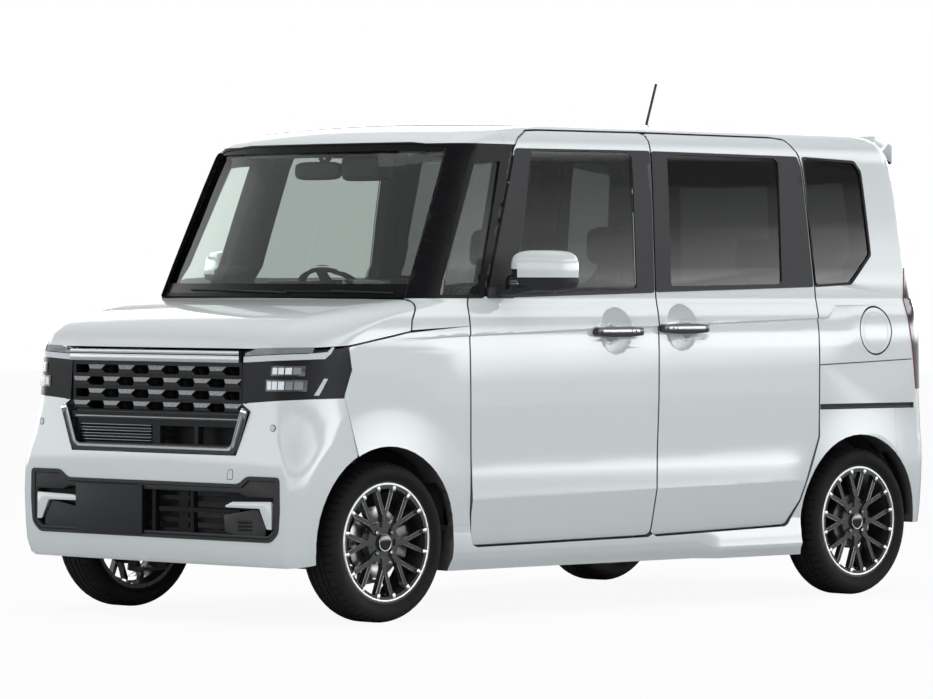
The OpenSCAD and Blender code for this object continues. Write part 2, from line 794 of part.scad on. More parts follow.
module front_door(s) {
    mirror([s < 0 ? 1 : 0, 0, 0]) difference() {
        union() {
            intersection() {
                shell(0, door_t, roof_t * 0.7);
                side_prism(400, 800) front_door_shape();
            }
            handle(door_split - 212, 1024);
        }
        side_prism(400, 800) offset(seam, $fn = EDGE_FN) front_pane_shape();
        handle_recess_front();
    }
}

module handle_recess_front() {
    difference() {
        handle_recess(door_split - 240, 1010);
        handle(door_split - 212, 1024);
    }
}

module front_door_left() {
    color("#eef0f2") moulded() front_door(1);
}

module front_door_right() {
    color("#eef0f2") moulded() front_door(-1);
}

module front_door_glass(s) {
    mirror([s < 0 ? 1 : 0, 0, 0]) intersection() {
        shell(3, 3 + glass_t, 3);
        side_prism(400, 800) front_pane_shape();
    }
}

module front_door_glass_left() {
    color("#59646b") moulded() front_door_glass(1);
}

module front_door_glass_right() {
    color("#59646b") moulded() front_door_glass(-1);
}

module sliding_doors() {
    color("#eef0f2") moulded() both() difference() {
        union() {
            intersection() {
                shell(0, door_t, roof_t * 0.7);
                side_prism(400, 800) difference() {
                    slide_door_shape();
                    offset(shut_gap, $fn = EDGE_FN) front_door_shape();
                }
            }
            handle(door_split + 140, 1034);
        }
        side_prism(400, 800) offset(seam, $fn = EDGE_FN) slide_pane_shape();
        difference() {
            handle_recess(door_split + 168, 1020);
            handle(door_split + 140, 1034);
        }
    }
}

// Rows of the mirror head in plan: out from the skin, back from the door edge, foot, height
MIRROR_HEAD = [
    [18, 186, 1172, 116], [30, 250, 1168, 124], [150, 206, 1164, 136], [206, 238, 1172, 118],
    [214, 300, 1178, 104],
    [60, 300, 1166, 132]
];
module mirror_unit(s) {
    mirror([s < 0 ? 1 : 0, 0, 0]) {
        hull() {
            for (p = MIRROR_HEAD) {
                translate([half_w + p[0], door_front + p[1], p[2]]) cylinder(r = 5, h = p[3], $fn = 8);
            }
        }
        hull() {
            translate([half_w - 70, door_front + 130, belt_z + 14]) cube([64, 110, 22]);
            translate([half_w + 40, door_front + 196, belt_z + 16]) cube([50, 66, 12]);
        }
        hull() {
            translate([half_w + 30, door_front + 200, belt_z + 16]) cube([50, 58, 12]);
            translate([half_w + 30, door_front + 214, belt_z + 40]) cube([40, 50, 10]);
        }
    }
}

module mirror_left() {
    color("#eef0f2") moulded() difference() {
        mirror_unit(1);
        loft(-seam, 0);
    }
}

module mirror_right() {
    color("#eef0f2") moulded() difference() {
        mirror_unit(-1);
        loft(-seam, 0);
    }
}

module bonnet() {
    color("#eef0f2") moulded() difference() {
        intersection() {
            shell(0, skin_t, skin_t);
            side_prism(-800, 800) bonnet_side_shape();
            linear_extrude(sky_z) bonnet_plan_shape();
        }
    }
}

module tailgate() {
    color("#eef0f2") moulded() difference() {
        union() {
            intersection() {
                shell(0, gate_t, roof_t);
                front_prism(tail_y - 400, tail_y + 40) gate_shape();
                union() {
                    block(-800, 800, tail_y - 190, tail_y + 40, 590, top_z - 50);
                    block(-800, 800, gate_seam, tail_y + 40, top_z - 51, sky_z);
                }
            }
            spoiler();
        }
        front_prism(tail_y - 400, tail_y + 40) offset(seam, $fn = EDGE_FN) gate_pane_shape();
        block(-800, 800, 0, gate_seam, top_z - 60, sky_z);
        block(-800, 800, 0, gate_seam + 14, gate_pin_z - 2, sky_z);
    }
    color("#eef0f2") both() {
        rod_x(gate_pin_r, 330, 400, gate_pin_y, gate_pin_z);
        block(340, 390, gate_pin_y, gate_seam + 1, gate_pin_z - 14, gate_pin_z - 2);
        block(340, 390, gate_pin_y - 3, gate_pin_y + 3, gate_pin_z - 14, gate_pin_z);
    }
}

module spoiler() {
    intersection() {
        side_prism(-562, 562) polygon([
            [gate_seam, top_z + 30], [tail_y - 60, top_z - 2], [tail_y - 20, top_z - 22],
            [tail_y - 26, top_z - 86],
            [tail_y - 80, top_z - 62], [gate_seam, top_z - 50]]);
        linear_extrude(sky_z) polygon([
            [-562, gate_seam - 5], [562, gate_seam - 5], [562, tail_y - 40],
            [524, tail_y - 22], [0, tail_y - 12],
            [-524, tail_y - 22], [-562, tail_y - 40]]);
        loft_grown_roof();
    }
}

module loft_grown_roof() {
    union() {
        loft(0, 0);
        block(-700, 700, tail_y - 150, tail_y + 10, up(1600), top_z + 22);
    }
}

module tailgate_glass() {
    color("#2a3036") moulded() intersection() {
        shell(3, 3 + glass_t, 3);
        front_prism(tail_y - 300, tail_y + 40) gate_pane_shape();
    }
}

module tail_lamps() {
    color("#8e1216") moulded() both() difference() {
        intersection() {
            shell(-4, 60, 0);
            tail_lamp_space(-seam);
        }
        front_prism(tail_y - 260, tail_y + 40) offset(shut_gap, $fn = EDGE_FN) gate_shape();
    }
}

module rear_bumper() {
    color("#eef0f2") moulded() difference() {
        intersection() {
            shell(0, skin_t + 14, 0);
            side_prism(-800, 800) polygon([
                [ry(200), 268], [ry(200), 712], [tail_y + 40, 712], [tail_y + 40, 268]]);
        }
        arches();
        block(-800, 800, tail_y - 300, tail_y - 150, 0, 260);
        front_prism(tail_y - 400, tail_y + 40) offset(shut_gap, $fn = EDGE_FN) gate_shape();
    }
}

module fuel_lid() {
    color("#eef0f2") {
        rod_x(fuel_r, half_w - fuel_t, half_w - 0.5, fuel_y, fuel_z);
        translate([half_w - fuel_pin_d, fuel_y - fuel_r + 3, fuel_z - 46]) cylinder(r = 3, h = 92);
    }
}

// Stub axle end faces, and the steering axis that leans in from ball joint to strut top
hub_face = wheel_x + 44;
stub_in = wheel_x - 62;
king_lean = 9.75;
king_x = wheel_x - 66;
ball_z = 152;
strut_top = 790;
module at_king() {
    translate([king_x, front_axle, axle_z]) rotate([0, -king_lean, 0]) children();
}

module knuckle(s) {
    mirror([s < 0 ? 1 : 0, 0, 0]) {
        union() {
            rod_x(stub_r, stub_in - 20, hub_face - 2, front_axle, axle_z);
            rod_x(46, stub_in - 26, stub_in + 30, front_axle, axle_z);
            at_king() {
                translate([0, 0, ball_z - axle_z]) cylinder(r = 19, h = 330);
                translate([0, 0, 180]) cylinder(r = 19, h = 170);
                translate([0, 0, 320]) cylinder(r = 11, h = (strut_top + 8 - axle_z) / cos(king_lean) - 320);
            }
            block(stub_in - 18, stub_in - 2, front_axle + 20, front_axle + 150, axle_z - 44, axle_z - 20);
            block(stub_in - 10, stub_in + 12, front_axle + 14, front_axle + 104, axle_z - 28, axle_z + 28);
            block(stub_in + 6, stub_in + 50, front_axle + 78, front_axle + 138, axle_z - 58, axle_z + 58);
        }
    }
}

module knuckle_left() {
    color("#5b5f63") knuckle(1);
}

module knuckle_right() {
    color("#5b5f63") knuckle(-1);
}

module rear_axle() {
    color("#35383b") {
        rod_x(38, 110 - wheel_x, wheel_x - 110, ry(-120), axle_z - 26);
        both() {
            rod_x(stub_r, wheel_x - 118, hub_face - 2, rear_axle, axle_z);
            rod_x(56, wheel_x - 112, wheel_x - 62, rear_axle, axle_z);
            block(wheel_x - 126, wheel_x - 92, ry(-360), rear_axle + 40, axle_z - 62, axle_z + 10);
            rod_x(44, wheel_x - 146, wheel_x - 84, ry(-360), axle_z - 26);
            block(wheel_x - 240, wheel_x - 120, ry(-80), ry(-16), axle_z - 58, axle_z - 44);
            translate([wheel_x - 186, ry(-48), axle_z - 50])
                cylinder(r = 46, h = load_z - 40 - seam - axle_z + 50);
        }
    }
}

// Cross member, lower arms and ball-joint cups
module front_suspension() {
    color("#35383b") {
        block(-330, 330, fy(30), fy(180), 170, 208);
        both() {
            block(316, king_x - 26, fy(40), fy(90), 166, 186);
            at_king() translate([0, 0, ball_z - axle_z - seam - 22]) cylinder(r = 24, h = 22);
            block(king_x - 54, king_x + 20, fy(-20), fy(62), 133, 146);
            block(king_x - 56, king_x - 27, fy(40), fy(90), 135, 184);
            block(190, 270, fy(176), bulkhead_y + 40, 178, floor_z - floor_t - seam);
        }
    }
}

module engine() {
    color("#4a4d50") block(-320, 260, fy(-290), fy(150), 208 + seam, 800);
}

pipe_x = 350;
module exhaust() {
    color("#6a6d70") {
        rod_x(84, -330, 300, ry(270), 300);
        translate([pipe_x, bulkhead_y + 60, 186])
            rotate([-90, 0, 0])
                cylinder(r = 22, h = ry(190) - bulkhead_y - 60);
        translate([pipe_x, ry(188), 186]) sphere(r = 22);
        translate([pipe_x, ry(188), 186]) rotate([-36, 0, 0]) cylinder(r = 22, h = 140);
        rod_x(22, 290, pipe_x + 8, ry(270), 299);
        for (x = [-250, 220]) {
            translate([x, ry(270), 370]) cylinder(r = 9, h = load_z - 40 - seam - 370);
        }
    }
}

module dashboard() {
    color("#2b2d30") {
        side_prism(-half_w + wall_t + 46, half_w - wall_t - 46) polygon([
            [bulkhead_y + seam, 700], [bulkhead_y + 140, 640], [bulkhead_y + 250, 760],
            [bulkhead_y + 280, 1000],
            [bulkhead_y + 250, 1090], [bulkhead_y + 90, 1128], [bulkhead_y + seam, 1118]]);
        block(-120, 60, bulkhead_y + 120, bulkhead_y + 300, 640, 900);
        translate(wheel_hub)
            rotate([steer_tilt, 0, 0])
                translate([0, 0, -column_l - seam - 90])
                    cylinder(r = 42, h = 90);
    }
}

// The driver sits on the right
driver_x = -330;
wheel_hub = [driver_x, bulkhead_y + 400, steer_z];
steer_tilt = -62;
column_l = 110;
module steering_wheel() {
    color("#1e1f21") translate(wheel_hub) rotate([steer_tilt, 0, 0]) {
        rotate_extrude() translate([steer_d / 2 - steer_grip / 2, 0]) circle(r = steer_grip / 2);
        translate([0, 0, -34]) cylinder(r = 66, h = 40);
        for (a = [0, 180, 270]) {
            rotate([0, 0, a]) translate([40, -22, -14]) cube([steer_d / 2 - steer_grip - 28, 44, 16]);
        }
        translate([0, 0, -column_l]) cylinder(r = 22, h = column_l - 20);
    }
}

module seat(x, y, w, back_h) {
    translate([x - w / 2, y, 0]) {
        side_prism(0, w) polygon([
            [0, seat_z - 150], [0, seat_z - 40], [30, seat_z + 4], [430, seat_z - 26], [470, seat_z + 30],
            [570, seat_z + back_h], [650, seat_z + back_h + 10], [690, seat_z + back_h - 30],
            [600, seat_z - 60],
            [570, seat_z - 150]]);
        side_prism(w / 2 - 120, w / 2 + 120) polygon([
            [590, seat_z + back_h + 30], [600, seat_z + back_h + 210], [680, seat_z + back_h + 215],
            [690, seat_z + back_h + 30]]);
        for (dx = [-60, 60]) {
            translate([w / 2 + dx, 640, seat_z + back_h - 20]) cylinder(r = 7, h = 60);
        }
    }
}

module front_seats() {
    color("#3c3a39") {
        for (x = [-330, 330]) {
            seat(x, along(900), seat_w, 560);
            block(x - 210, x + 210, along(900) + 60, along(900) + 500, floor_z + seam, seat_z - 149);
        }
    }
}

module rear_seats() {
    color("#3c3a39") {
        for (x = [-262, 262]) {
            seat(x, along(1810), 480, 520);
            block(x - 200, x + 200, along(1850), step_y - 14, floor_z + seam, seat_z - 149);
        }
    }
}

// Tyre section round the wheel axis, outer face towards +z
module tyre_body() {
    bead = rim_w / 2 - 7;
    rotate_extrude($fn = 96) polygon([
        [rim_d / 2 + seam, -bead], [rim_d / 2 + 12, -bead], [rim_d / 2 + 15, -rim_w / 2 - 1],
        [rim_d / 2 + 36, -tyre_w / 2], [tyre_d / 2 - 24, -tyre_w / 2 + 5],
        [tyre_d / 2 - 7, -tyre_w / 2 + 17],
        [tyre_d / 2, -tyre_w / 2 + 34], [tyre_d / 2, tyre_w / 2 - 34], [tyre_d / 2 - 7, tyre_w / 2 - 17],
        [tyre_d / 2 - 24, tyre_w / 2 - 5], [rim_d / 2 + 36, tyre_w / 2], [rim_d / 2 + 15, rim_w / 2 + 1],
        [rim_d / 2 + 12, bead], [rim_d / 2 + seam, bead]]);
}

module spoke_shape() {
    fork = hub_r + 26;
    ring = rim_d / 2 - 12;
    step = 90 / spoke_count;
    for (k = [0 : spoke_count - 1]) {
        rotate(k * 360 / spoke_count) {
            polygon([
                [hub_r - 20, -spoke_w * 0.8], [fork, -spoke_w * 0.62], [fork + 14, 0],
                [fork, spoke_w * 0.62],
                [hub_r - 20, spoke_w * 0.8]]);
            for (m = [-1, 1]) {
                polygon([
                    [fork - 8, m * spoke_w * 0.6],
                    [ring * cos(step), m * (ring * sin(step) + spoke_w * 0.5)],
                    [ring * cos(step), m * (ring * sin(step) - spoke_w * 0.5)],
                    [fork + 6, -m * spoke_w * 0.2]]);
            }
        }
    }
}

module rim_body(front) {
    difference() {
        union() {
            rotate_extrude($fn = 96) polygon([
                [rim_d / 2, -rim_w / 2 + 6], [rim_d / 2 + 11, -rim_w / 2 + 6], [rim_d / 2 + 11, -rim_w / 2],
                [rim_d / 2 - 8, -rim_w / 2], [rim_d / 2 - 22, -rim_w / 2 + 34],
                [rim_d / 2 - 22, rim_w / 2 - 34],
                [rim_d / 2 - 18, rim_w / 2 - 8], [rim_d / 2 - 18, rim_w / 2], [rim_d / 2 + 11, rim_w / 2],
                [rim_d / 2 + 11, rim_w / 2 - 6], [rim_d / 2, rim_w / 2 - 6], [rim_d / 2, rim_w / 2 - 34],
                [rim_d / 2 - 12, rim_w / 2 - 46], [rim_d / 2 - 12, -rim_w / 2 + 46],
                [rim_d / 2, -rim_w / 2 + 34]]);
            translate([0, 0, rim_w / 2 - 32]) linear_extrude(22) spoke_shape();
            translate([0, 0, rim_w / 2 - 30]) cylinder(r = hub_r, h = 14);
            translate([0, 0, rim_w / 2 - 17]) cylinder(r = 30, h = 11);
            if (front) {
                translate([0, 0, 0]) cylinder(r = disc_r, h = 11);
                translate([0, 0, 10]) cylinder(r = 70, h = rim_w / 2 - 39);
            } else {
                translate([0, 0, -34]) cylinder(r = 104, h = rim_w / 2 - 6);
                translate([0, 0, 25]) cylinder(r = 70, h = rim_w / 2 - 54);
            }
        }
        translate([0, 0, -100]) cylinder(r = stub_r + bearing_play, h = 100 + hub_face - wheel_x);
        for (a = [45 : 90 : 315]) {
            rotate([0, 0, a]) translate([50, 0, rim_w / 2 - 24]) cylinder(r = 11, h = 20);
        }
    }
}

module at_wheel(s, y) {
    translate([s * wheel_x, y, axle_z]) mirror([s < 0 ? 1 : 0, 0, 0]) rotate([0, 90, 0]) children();
}

module tyre_front_left() {
    color("#141414") at_wheel(1, front_axle) tyre_body();
}

module tyre_front_right() {
    color("#141414") at_wheel(-1, front_axle) tyre_body();
}

module tyre_rear_left() {
    color("#141414") at_wheel(1, rear_axle) tyre_body();
}

module tyre_rear_right() {
    color("#141414") at_wheel(-1, rear_axle) tyre_body();
}

module rim_front_left() {
    color("#a9adb0") at_wheel(1, front_axle) rim_body(true);
}

module rim_front_right() {
    color("#a9adb0") at_wheel(-1, front_axle) rim_body(true);
}

module rim_rear_left() {
    color("#a9adb0") at_wheel(1, rear_axle) rim_body(false);
}

module rim_rear_right() {
    color("#a9adb0") at_wheel(-1, rear_axle) rim_body(false);
}

floor_pan();
body_sides();
roof_panel();
antenna();
front_fenders();
front_bumper();
upper_grille();
lower_grille();
headlamps();
windscreen();
cowl();
fixed_glass();
sliding_doors();
tail_lamps();
rear_bumper();
dashboard();
front_seats();
rear_seats();
rear_axle();
front_suspension();
engine();
exhaust();
bonnet();
front_door_left();
front_door_right();
front_door_glass_left();
front_door_glass_right();
mirror_left();
mirror_right();
tailgate();
tailgate_glass();
fuel_lid();
steering_wheel();
knuckle_left();
knuckle_right();
tyre_front_left();
tyre_front_right();
tyre_rear_left();
tyre_rear_right();
rim_front_left();
rim_front_right();
rim_rear_left();
rim_rear_right();
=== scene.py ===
# Looks of the tall kei wagon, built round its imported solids. Metres, front towards -Y, left is +X.
import json
import math

import bmesh
import bpy
import numpy as np
from mathutils import Matrix, Vector
from mathutils.geometry import delaunay_2d_cdt


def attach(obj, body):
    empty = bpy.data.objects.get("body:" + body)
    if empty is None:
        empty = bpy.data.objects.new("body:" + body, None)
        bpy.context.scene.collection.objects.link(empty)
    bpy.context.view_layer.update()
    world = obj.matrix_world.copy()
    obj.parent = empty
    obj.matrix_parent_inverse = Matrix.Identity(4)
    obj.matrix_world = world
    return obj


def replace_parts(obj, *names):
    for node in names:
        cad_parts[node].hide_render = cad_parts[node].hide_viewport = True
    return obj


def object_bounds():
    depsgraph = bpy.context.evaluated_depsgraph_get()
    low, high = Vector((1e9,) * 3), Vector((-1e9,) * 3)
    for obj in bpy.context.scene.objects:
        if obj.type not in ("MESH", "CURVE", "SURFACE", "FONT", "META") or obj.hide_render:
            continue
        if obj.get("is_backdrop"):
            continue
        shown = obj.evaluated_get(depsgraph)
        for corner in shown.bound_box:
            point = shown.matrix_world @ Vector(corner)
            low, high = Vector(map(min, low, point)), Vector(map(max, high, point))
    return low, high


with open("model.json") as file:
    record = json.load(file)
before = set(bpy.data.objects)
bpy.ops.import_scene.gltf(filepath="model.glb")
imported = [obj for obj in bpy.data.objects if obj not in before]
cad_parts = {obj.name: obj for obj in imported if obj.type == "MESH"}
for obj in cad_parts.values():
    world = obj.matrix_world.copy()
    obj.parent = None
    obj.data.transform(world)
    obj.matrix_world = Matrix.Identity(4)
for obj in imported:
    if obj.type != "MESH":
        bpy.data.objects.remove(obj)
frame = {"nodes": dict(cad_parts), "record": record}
CAD_LOW, CAD_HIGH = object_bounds()
NODES = frame["nodes"]
BODY_OF = {n: b for b, ns in frame["record"]["behaviour"]["bodies"].items() for n in ns}

# Main places, as in the solids
NOSE_Y, TAIL_Y, HALF_W = -1.6975, 1.6975, 0.7375
FRONT_AXLE, REAR_AXLE, AXLE_Z, WHEEL_X = -1.240, 1.280, 0.281, 0.6525
DOOR_FRONT, DOOR_SPLIT, SLIDE_REAR = -0.835, 0.137, 1.034
BELT_Z, BELT_RISE, PANE_TOP = 1.140, 0.046, 1.668
REAR_BOW = 0.014

# Skin
# height, nose setback, front bow, corner width, corner length, side inset, tail setback, rear corner
SECTIONS = np.array([
    [170, 60, 8, 70, 90, 44, 52, 80], [215, 14, 8, 56, 76, 20, 20, 78], [260, 4, 8, 52, 72, 12, 9, 76],
    [330, 1, 8, 50, 70, 8, 3, 74], [440, 0, 8, 52, 72, 2, 0, 74], [520, 0, 8, 60, 88, 0, 0, 74],
    [580, 2, 9, 78, 126, 0, 2, 76], [640, 6, 11, 106, 180, 0, 7, 79], [760, 11, 14, 140, 234, 0, 14, 82],
    [880, 15, 16, 152, 246, 0, 18, 82], [950, 18, 18, 156, 250, 0, 20, 82], [1000, 34, 25, 160, 260, 1, 23, 82],
    [1035, 68, 40, 164, 266, 4, 25, 82], [1065, 130, 60, 164, 270, 8, 27, 82],
    [1090, 228, 80, 158, 268, 13, 29, 82], [1110, 345, 95, 146, 250, 18, 31, 83],
    [1125, 468, 102, 116, 190, 21, 33, 84], [1136, 556, 95, 70, 90, 24, 34, 84],
    [1250, 611, 92, 64, 84, 36, 44, 86], [1400, 684, 88, 60, 80, 51, 57, 88],
    [1550, 757, 82, 56, 76, 67, 78, 90], [1650, 806, 78, 54, 74, 80, 98, 92],
    [1690, 830, 80, 60, 80, 87, 110, 95], [1715, 854, 90, 75, 95, 97, 119, 100],
    [1735, 890, 110, 95, 120, 111, 130, 110], [1750, 940, 140, 130, 160, 130, 142, 130],
    [1762, 1006, 180, 170, 210, 155, 158, 160], [1772, 1096, 230, 220, 270, 195, 184, 200],
    [1780, 1216, 280, 250, 300, 256, 232, 230], [1786, 1376, 300, 250, 300, 346, 340, 230],
    [1790, 1604, 260, 150, 200, 480, 560, 150]], float) / 1000
HEIGHTS = SECTIONS[:, 0]


def slopes():
    """Slopes of each column at each height, kept monotone so that the skin doesn't ripple."""
    step = np.diff(HEIGHTS)[:, None]
    chord = np.diff(SECTIONS[:, 1:], axis=0) / step
    out = np.zeros((len(HEIGHTS), 7))
    a, b = chord[:-1], chord[1:]
    same = a * b > 0
    out[1:-1] = np.where(same, 2 * a * b / np.where(same, a + b, 1), 0)
    out[0], out[-1] = chord[0], chord[-1]
    return out


SLOPES = slopes()


def section(z, smooth=False):
    """Columns of the section table at heights z."""
    z = np.clip(np.asarray(z, float), HEIGHTS[0], HEIGHTS[-1])
    k = np.clip(np.searchsorted(HEIGHTS, z, side="right") - 1, 0, len(HEIGHTS) - 2)
    h = (HEIGHTS[k + 1] - HEIGHTS[k])[..., None]
    t = ((z - HEIGHTS[k]) / h[..., 0])[..., None]
    a, b = SECTIONS[k, 1:], SECTIONS[k + 1, 1:]
    if not smooth:
        return np.moveaxis(a + (b - a) * t, -1, 0)
    m0, m1 = SLOPES[k] * h, SLOPES[k + 1] * h
    t2, t3 = t * t, t ** 3
    return np.moveaxis((2 * t3 - 3 * t2 + 1) * a + (t3 - 2 * t2 + t) * m0
                       + (3 * t2 - 2 * t3) * b + (t3 - t2) * m1, -1, 0)


def side_x(y, z):
    """Half width of the skin at (y, z)."""
    y, z = np.asarray(y, float), np.asarray(z, float)
    nose, bow, cw, cl, side, tail, rr = section(z)
    w = HALF_W - side
    x = w.copy() if np.ndim(w) else np.array(w)
    for _ in range(4):
        c = 1 - (y - (NOSE_Y + nose + bow * (x / w) ** 2)) / cl
        front = w - cw + cw * np.sqrt(np.clip(1 - np.clip(c, 0, 1) ** 2, 0, 1))
        d = 1 - ((TAIL_Y - tail - REAR_BOW * (x / w) ** 2) - y) / rr
        rear = w - rr + rr * np.sqrt(np.clip(1 - np.clip(d, 0, 1) ** 2, 0, 1))
        x = np.minimum(front, rear)
    return x


def front_y(x, z):
    """Front face of the skin at (x, z)."""
    nose, bow, cw, cl, side, _, _ = section(z)
    w = HALF_W - side
    ax = np.minimum(np.abs(x), w)
    s = np.clip((ax - (w - cw)) / cw, 0, 1)
    return NOSE_Y + nose + bow * (ax / w) ** 2 + cl * (1 - np.sqrt(1 - s * s))


def rear_y(x, z):
    """Rear face of the skin at (x, z)."""
    _, _, _, _, side, tail, rr = section(z)
    w = HALF_W - side
    ax = np.minimum(np.abs(x), w)
    s = np.clip((ax - (w - rr)) / rr, 0, 1)
    return TAIL_Y - tail - REAR_BOW * (ax / w) ** 2 - rr * (1 - np.sqrt(1 - s * s))


def skin_fn(p, region):
    """Signed distance-like value of the smooth skin, positive outside; region is fixed per point."""
    ax, y, z = np.abs(p[:, 0]), p[:, 1], p[:, 2]
    nose, bow, cw, cl, side, tail, rr = section(z, True)
    w = HALF_W - side
    yf = NOSE_Y + nose + bow * (ax / w) ** 2
    yr = TAIL_Y - tail - REAR_BOW * (ax / w) ** 2
    a = np.hypot((ax - (w - cw)) / cw, (y - yf - cl) / cl) - 1
    b = np.hypot((ax - (w - rr)) / rr, (y - yr + rr) / rr) - 1
    return np.choose(region, [yf - y, a * np.minimum(cw, cl), ax - w, b * rr, y - yr])


def skin_normals(p):
    """Outward unit normals of the smooth skin near points p, and how far the points lie from it."""
    p = np.asarray(p, float).reshape(-1, 3)
    ax, y = np.abs(p[:, 0]), p[:, 1]
    nose, bow, cw, cl, side, tail, rr = section(p[:, 2], True)
    w = HALF_W - side
    yf = NOSE_Y + nose + bow * (ax / w) ** 2
    yr = TAIL_Y - tail - REAR_BOW * (ax / w) ** 2
    region = np.where(y < 0, np.where(ax < w - cw, 0, np.where(y < yf + cl, 1, 2)),
                      np.where(ax < w - rr, 4, np.where(y > yr - rr, 3, 2)))
    inner = (y > yf + cl) & (y < yr - rr)
    region = np.where(inner & (ax > w - 0.2), 2, region)
    grad = np.zeros_like(p)
    for axis in range(3):
        e = np.zeros(3)
        e[axis] = 0.0015
        grad[:, axis] = (skin_fn(p + e, region) - skin_fn(p - e, region)) / 0.003
    size = np.linalg.norm(grad, axis=1)
    size[size < 1e-9] = 1
    return grad / size[:, None], skin_fn(p, region) / size

# Finishes


def group(name, inputs, outputs):
    """An empty shader group with named sockets; returns tree, input node and output node."""
    g = bpy.data.node_groups.new(name, "ShaderNodeTree")
    for label, kind, value in inputs:
        s = g.interface.new_socket(label, in_out="INPUT", socket_type="NodeSocket" + kind)
        if value is not None:
            s.default_value = value
    for label, kind in outputs:
        g.interface.new_socket(label, in_out="OUTPUT", socket_type="NodeSocket" + kind)
    return g, g.nodes.new("NodeGroupInput"), g.nodes.new("NodeGroupOutput")


def make_grain():
    """Two colours, a roughness range and a height from one noise: moulded grain, paint flake, dust."""
    g, i, o = group("grain", [("Coordinates", "Vector", None), ("Scale", "Float", 40.0),
                              ("Colour A", "Color", (0.5, 0.5, 0.5, 1)), ("Colour B", "Color", (0.5, 0.5, 0.5, 1)),
                              ("Rough Low", "Float", 0.4), ("Rough High", "Float", 0.5)],
                    [("Colour", "Color"), ("Roughness", "Float"), ("Height", "Float")])
    n = g.nodes.new("ShaderNodeTexNoise")
    n.inputs["Detail"].default_value = 4.0
    g.links.new(i.outputs["Coordinates"], n.inputs["Vector"])
    g.links.new(i.outputs["Scale"], n.inputs["Scale"])
    mix = g.nodes.new("ShaderNodeMix")
    mix.data_type = "RGBA"
    g.links.new(n.outputs["Fac"], mix.inputs["Factor"])
    g.links.new(i.outputs["Colour A"], mix.inputs["A"])
    g.links.new(i.outputs["Colour B"], mix.inputs["B"])
    r = g.nodes.new("ShaderNodeMapRange")
    g.links.new(n.outputs["Fac"], r.inputs["Value"])
    g.links.new(i.outputs["Rough Low"], r.inputs["To Min"])
    g.links.new(i.outputs["Rough High"], r.inputs["To Max"])
    g.links.new(mix.outputs["Result"], o.inputs["Colour"])
    g.links.new(r.outputs["Result"], o.inputs["Roughness"])
    g.links.new(n.outputs["Fac"], o.inputs["Height"])
    return g


def make_road_dust():
    """Mask of road film that thins out upwards from the sill."""
    g, i, o = group("road_dust", [("Coordinates", "Vector", None), ("Top", "Float", 0.5), ("Amount", "Float", 0.3)],
                    [("Mask", "Float")])
    xyz = g.nodes.new("ShaderNodeSeparateXYZ")
    g.links.new(i.outputs["Coordinates"], xyz.inputs["Vector"])
    n = g.nodes.new("ShaderNodeTexNoise")
    n.inputs["Scale"].default_value = 9.0
    n.inputs["Detail"].default_value = 6.0
    g.links.new(i.outputs["Coordinates"], n.inputs["Vector"])
    r = g.nodes.new("ShaderNodeMapRange")
    r.inputs["From Min"].default_value = 0.1
    g.links.new(xyz.outputs["Z"], r.inputs["Value"])
    g.links.new(i.outputs["Top"], r.inputs["From Max"])
    g.links.new(i.outputs["Amount"], r.inputs["To Min"])
    r.inputs["To Max"].default_value = 0.0
    m = g.nodes.new("ShaderNodeMath")
    m.operation = "MULTIPLY"
    g.links.new(r.outputs["Result"], m.inputs[0])
    g.links.new(n.outputs["Fac"], m.inputs[1])
    g.links.new(m.outputs["Value"], o.inputs["Mask"])
    return g


def make_weave():
    """Over-and-under threads as a height and a thread mask."""
    g, i, o = group("weave", [("Coordinates", "Vector", None), ("Scale", "Float", 300.0)],
                    [("Height", "Float"), ("Thread", "Float")])
    waves = []
    for axis in ("X", "Y", "Z"):
        w = g.nodes.new("ShaderNodeTexWave")
        w.bands_direction = axis
        g.links.new(i.outputs["Coordinates"], w.inputs["Vector"])
        g.links.new(i.outputs["Scale"], w.inputs["Scale"])
        waves.append(w)
    a = g.nodes.new("ShaderNodeMath")
    a.operation = "MULTIPLY"
    g.links.new(waves[0].outputs["Fac"], a.inputs[0])
    g.links.new(waves[2].outputs["Fac"], a.inputs[1])
    b = g.nodes.new("ShaderNodeMath")
    b.operation = "MAXIMUM"
    g.links.new(a.outputs["Value"], b.inputs[0])
    g.links.new(waves[1].outputs["Fac"], b.inputs[1])
    n = g.nodes.new("ShaderNodeTexNoise")
    n.inputs["Scale"].default_value = 60.0
    g.links.new(i.outputs["Coordinates"], n.inputs["Vector"])
    g.links.new(b.outputs["Value"], o.inputs["Height"])
    g.links.new(n.outputs["Fac"], o.inputs["Thread"])
    return g


GRAIN, ROAD_DUST, WEAVE = make_grain(), make_road_dust(), make_weave()


def place(tree, what):
    n = tree.nodes.new("ShaderNodeGroup")
    n.node_tree = what
    return n


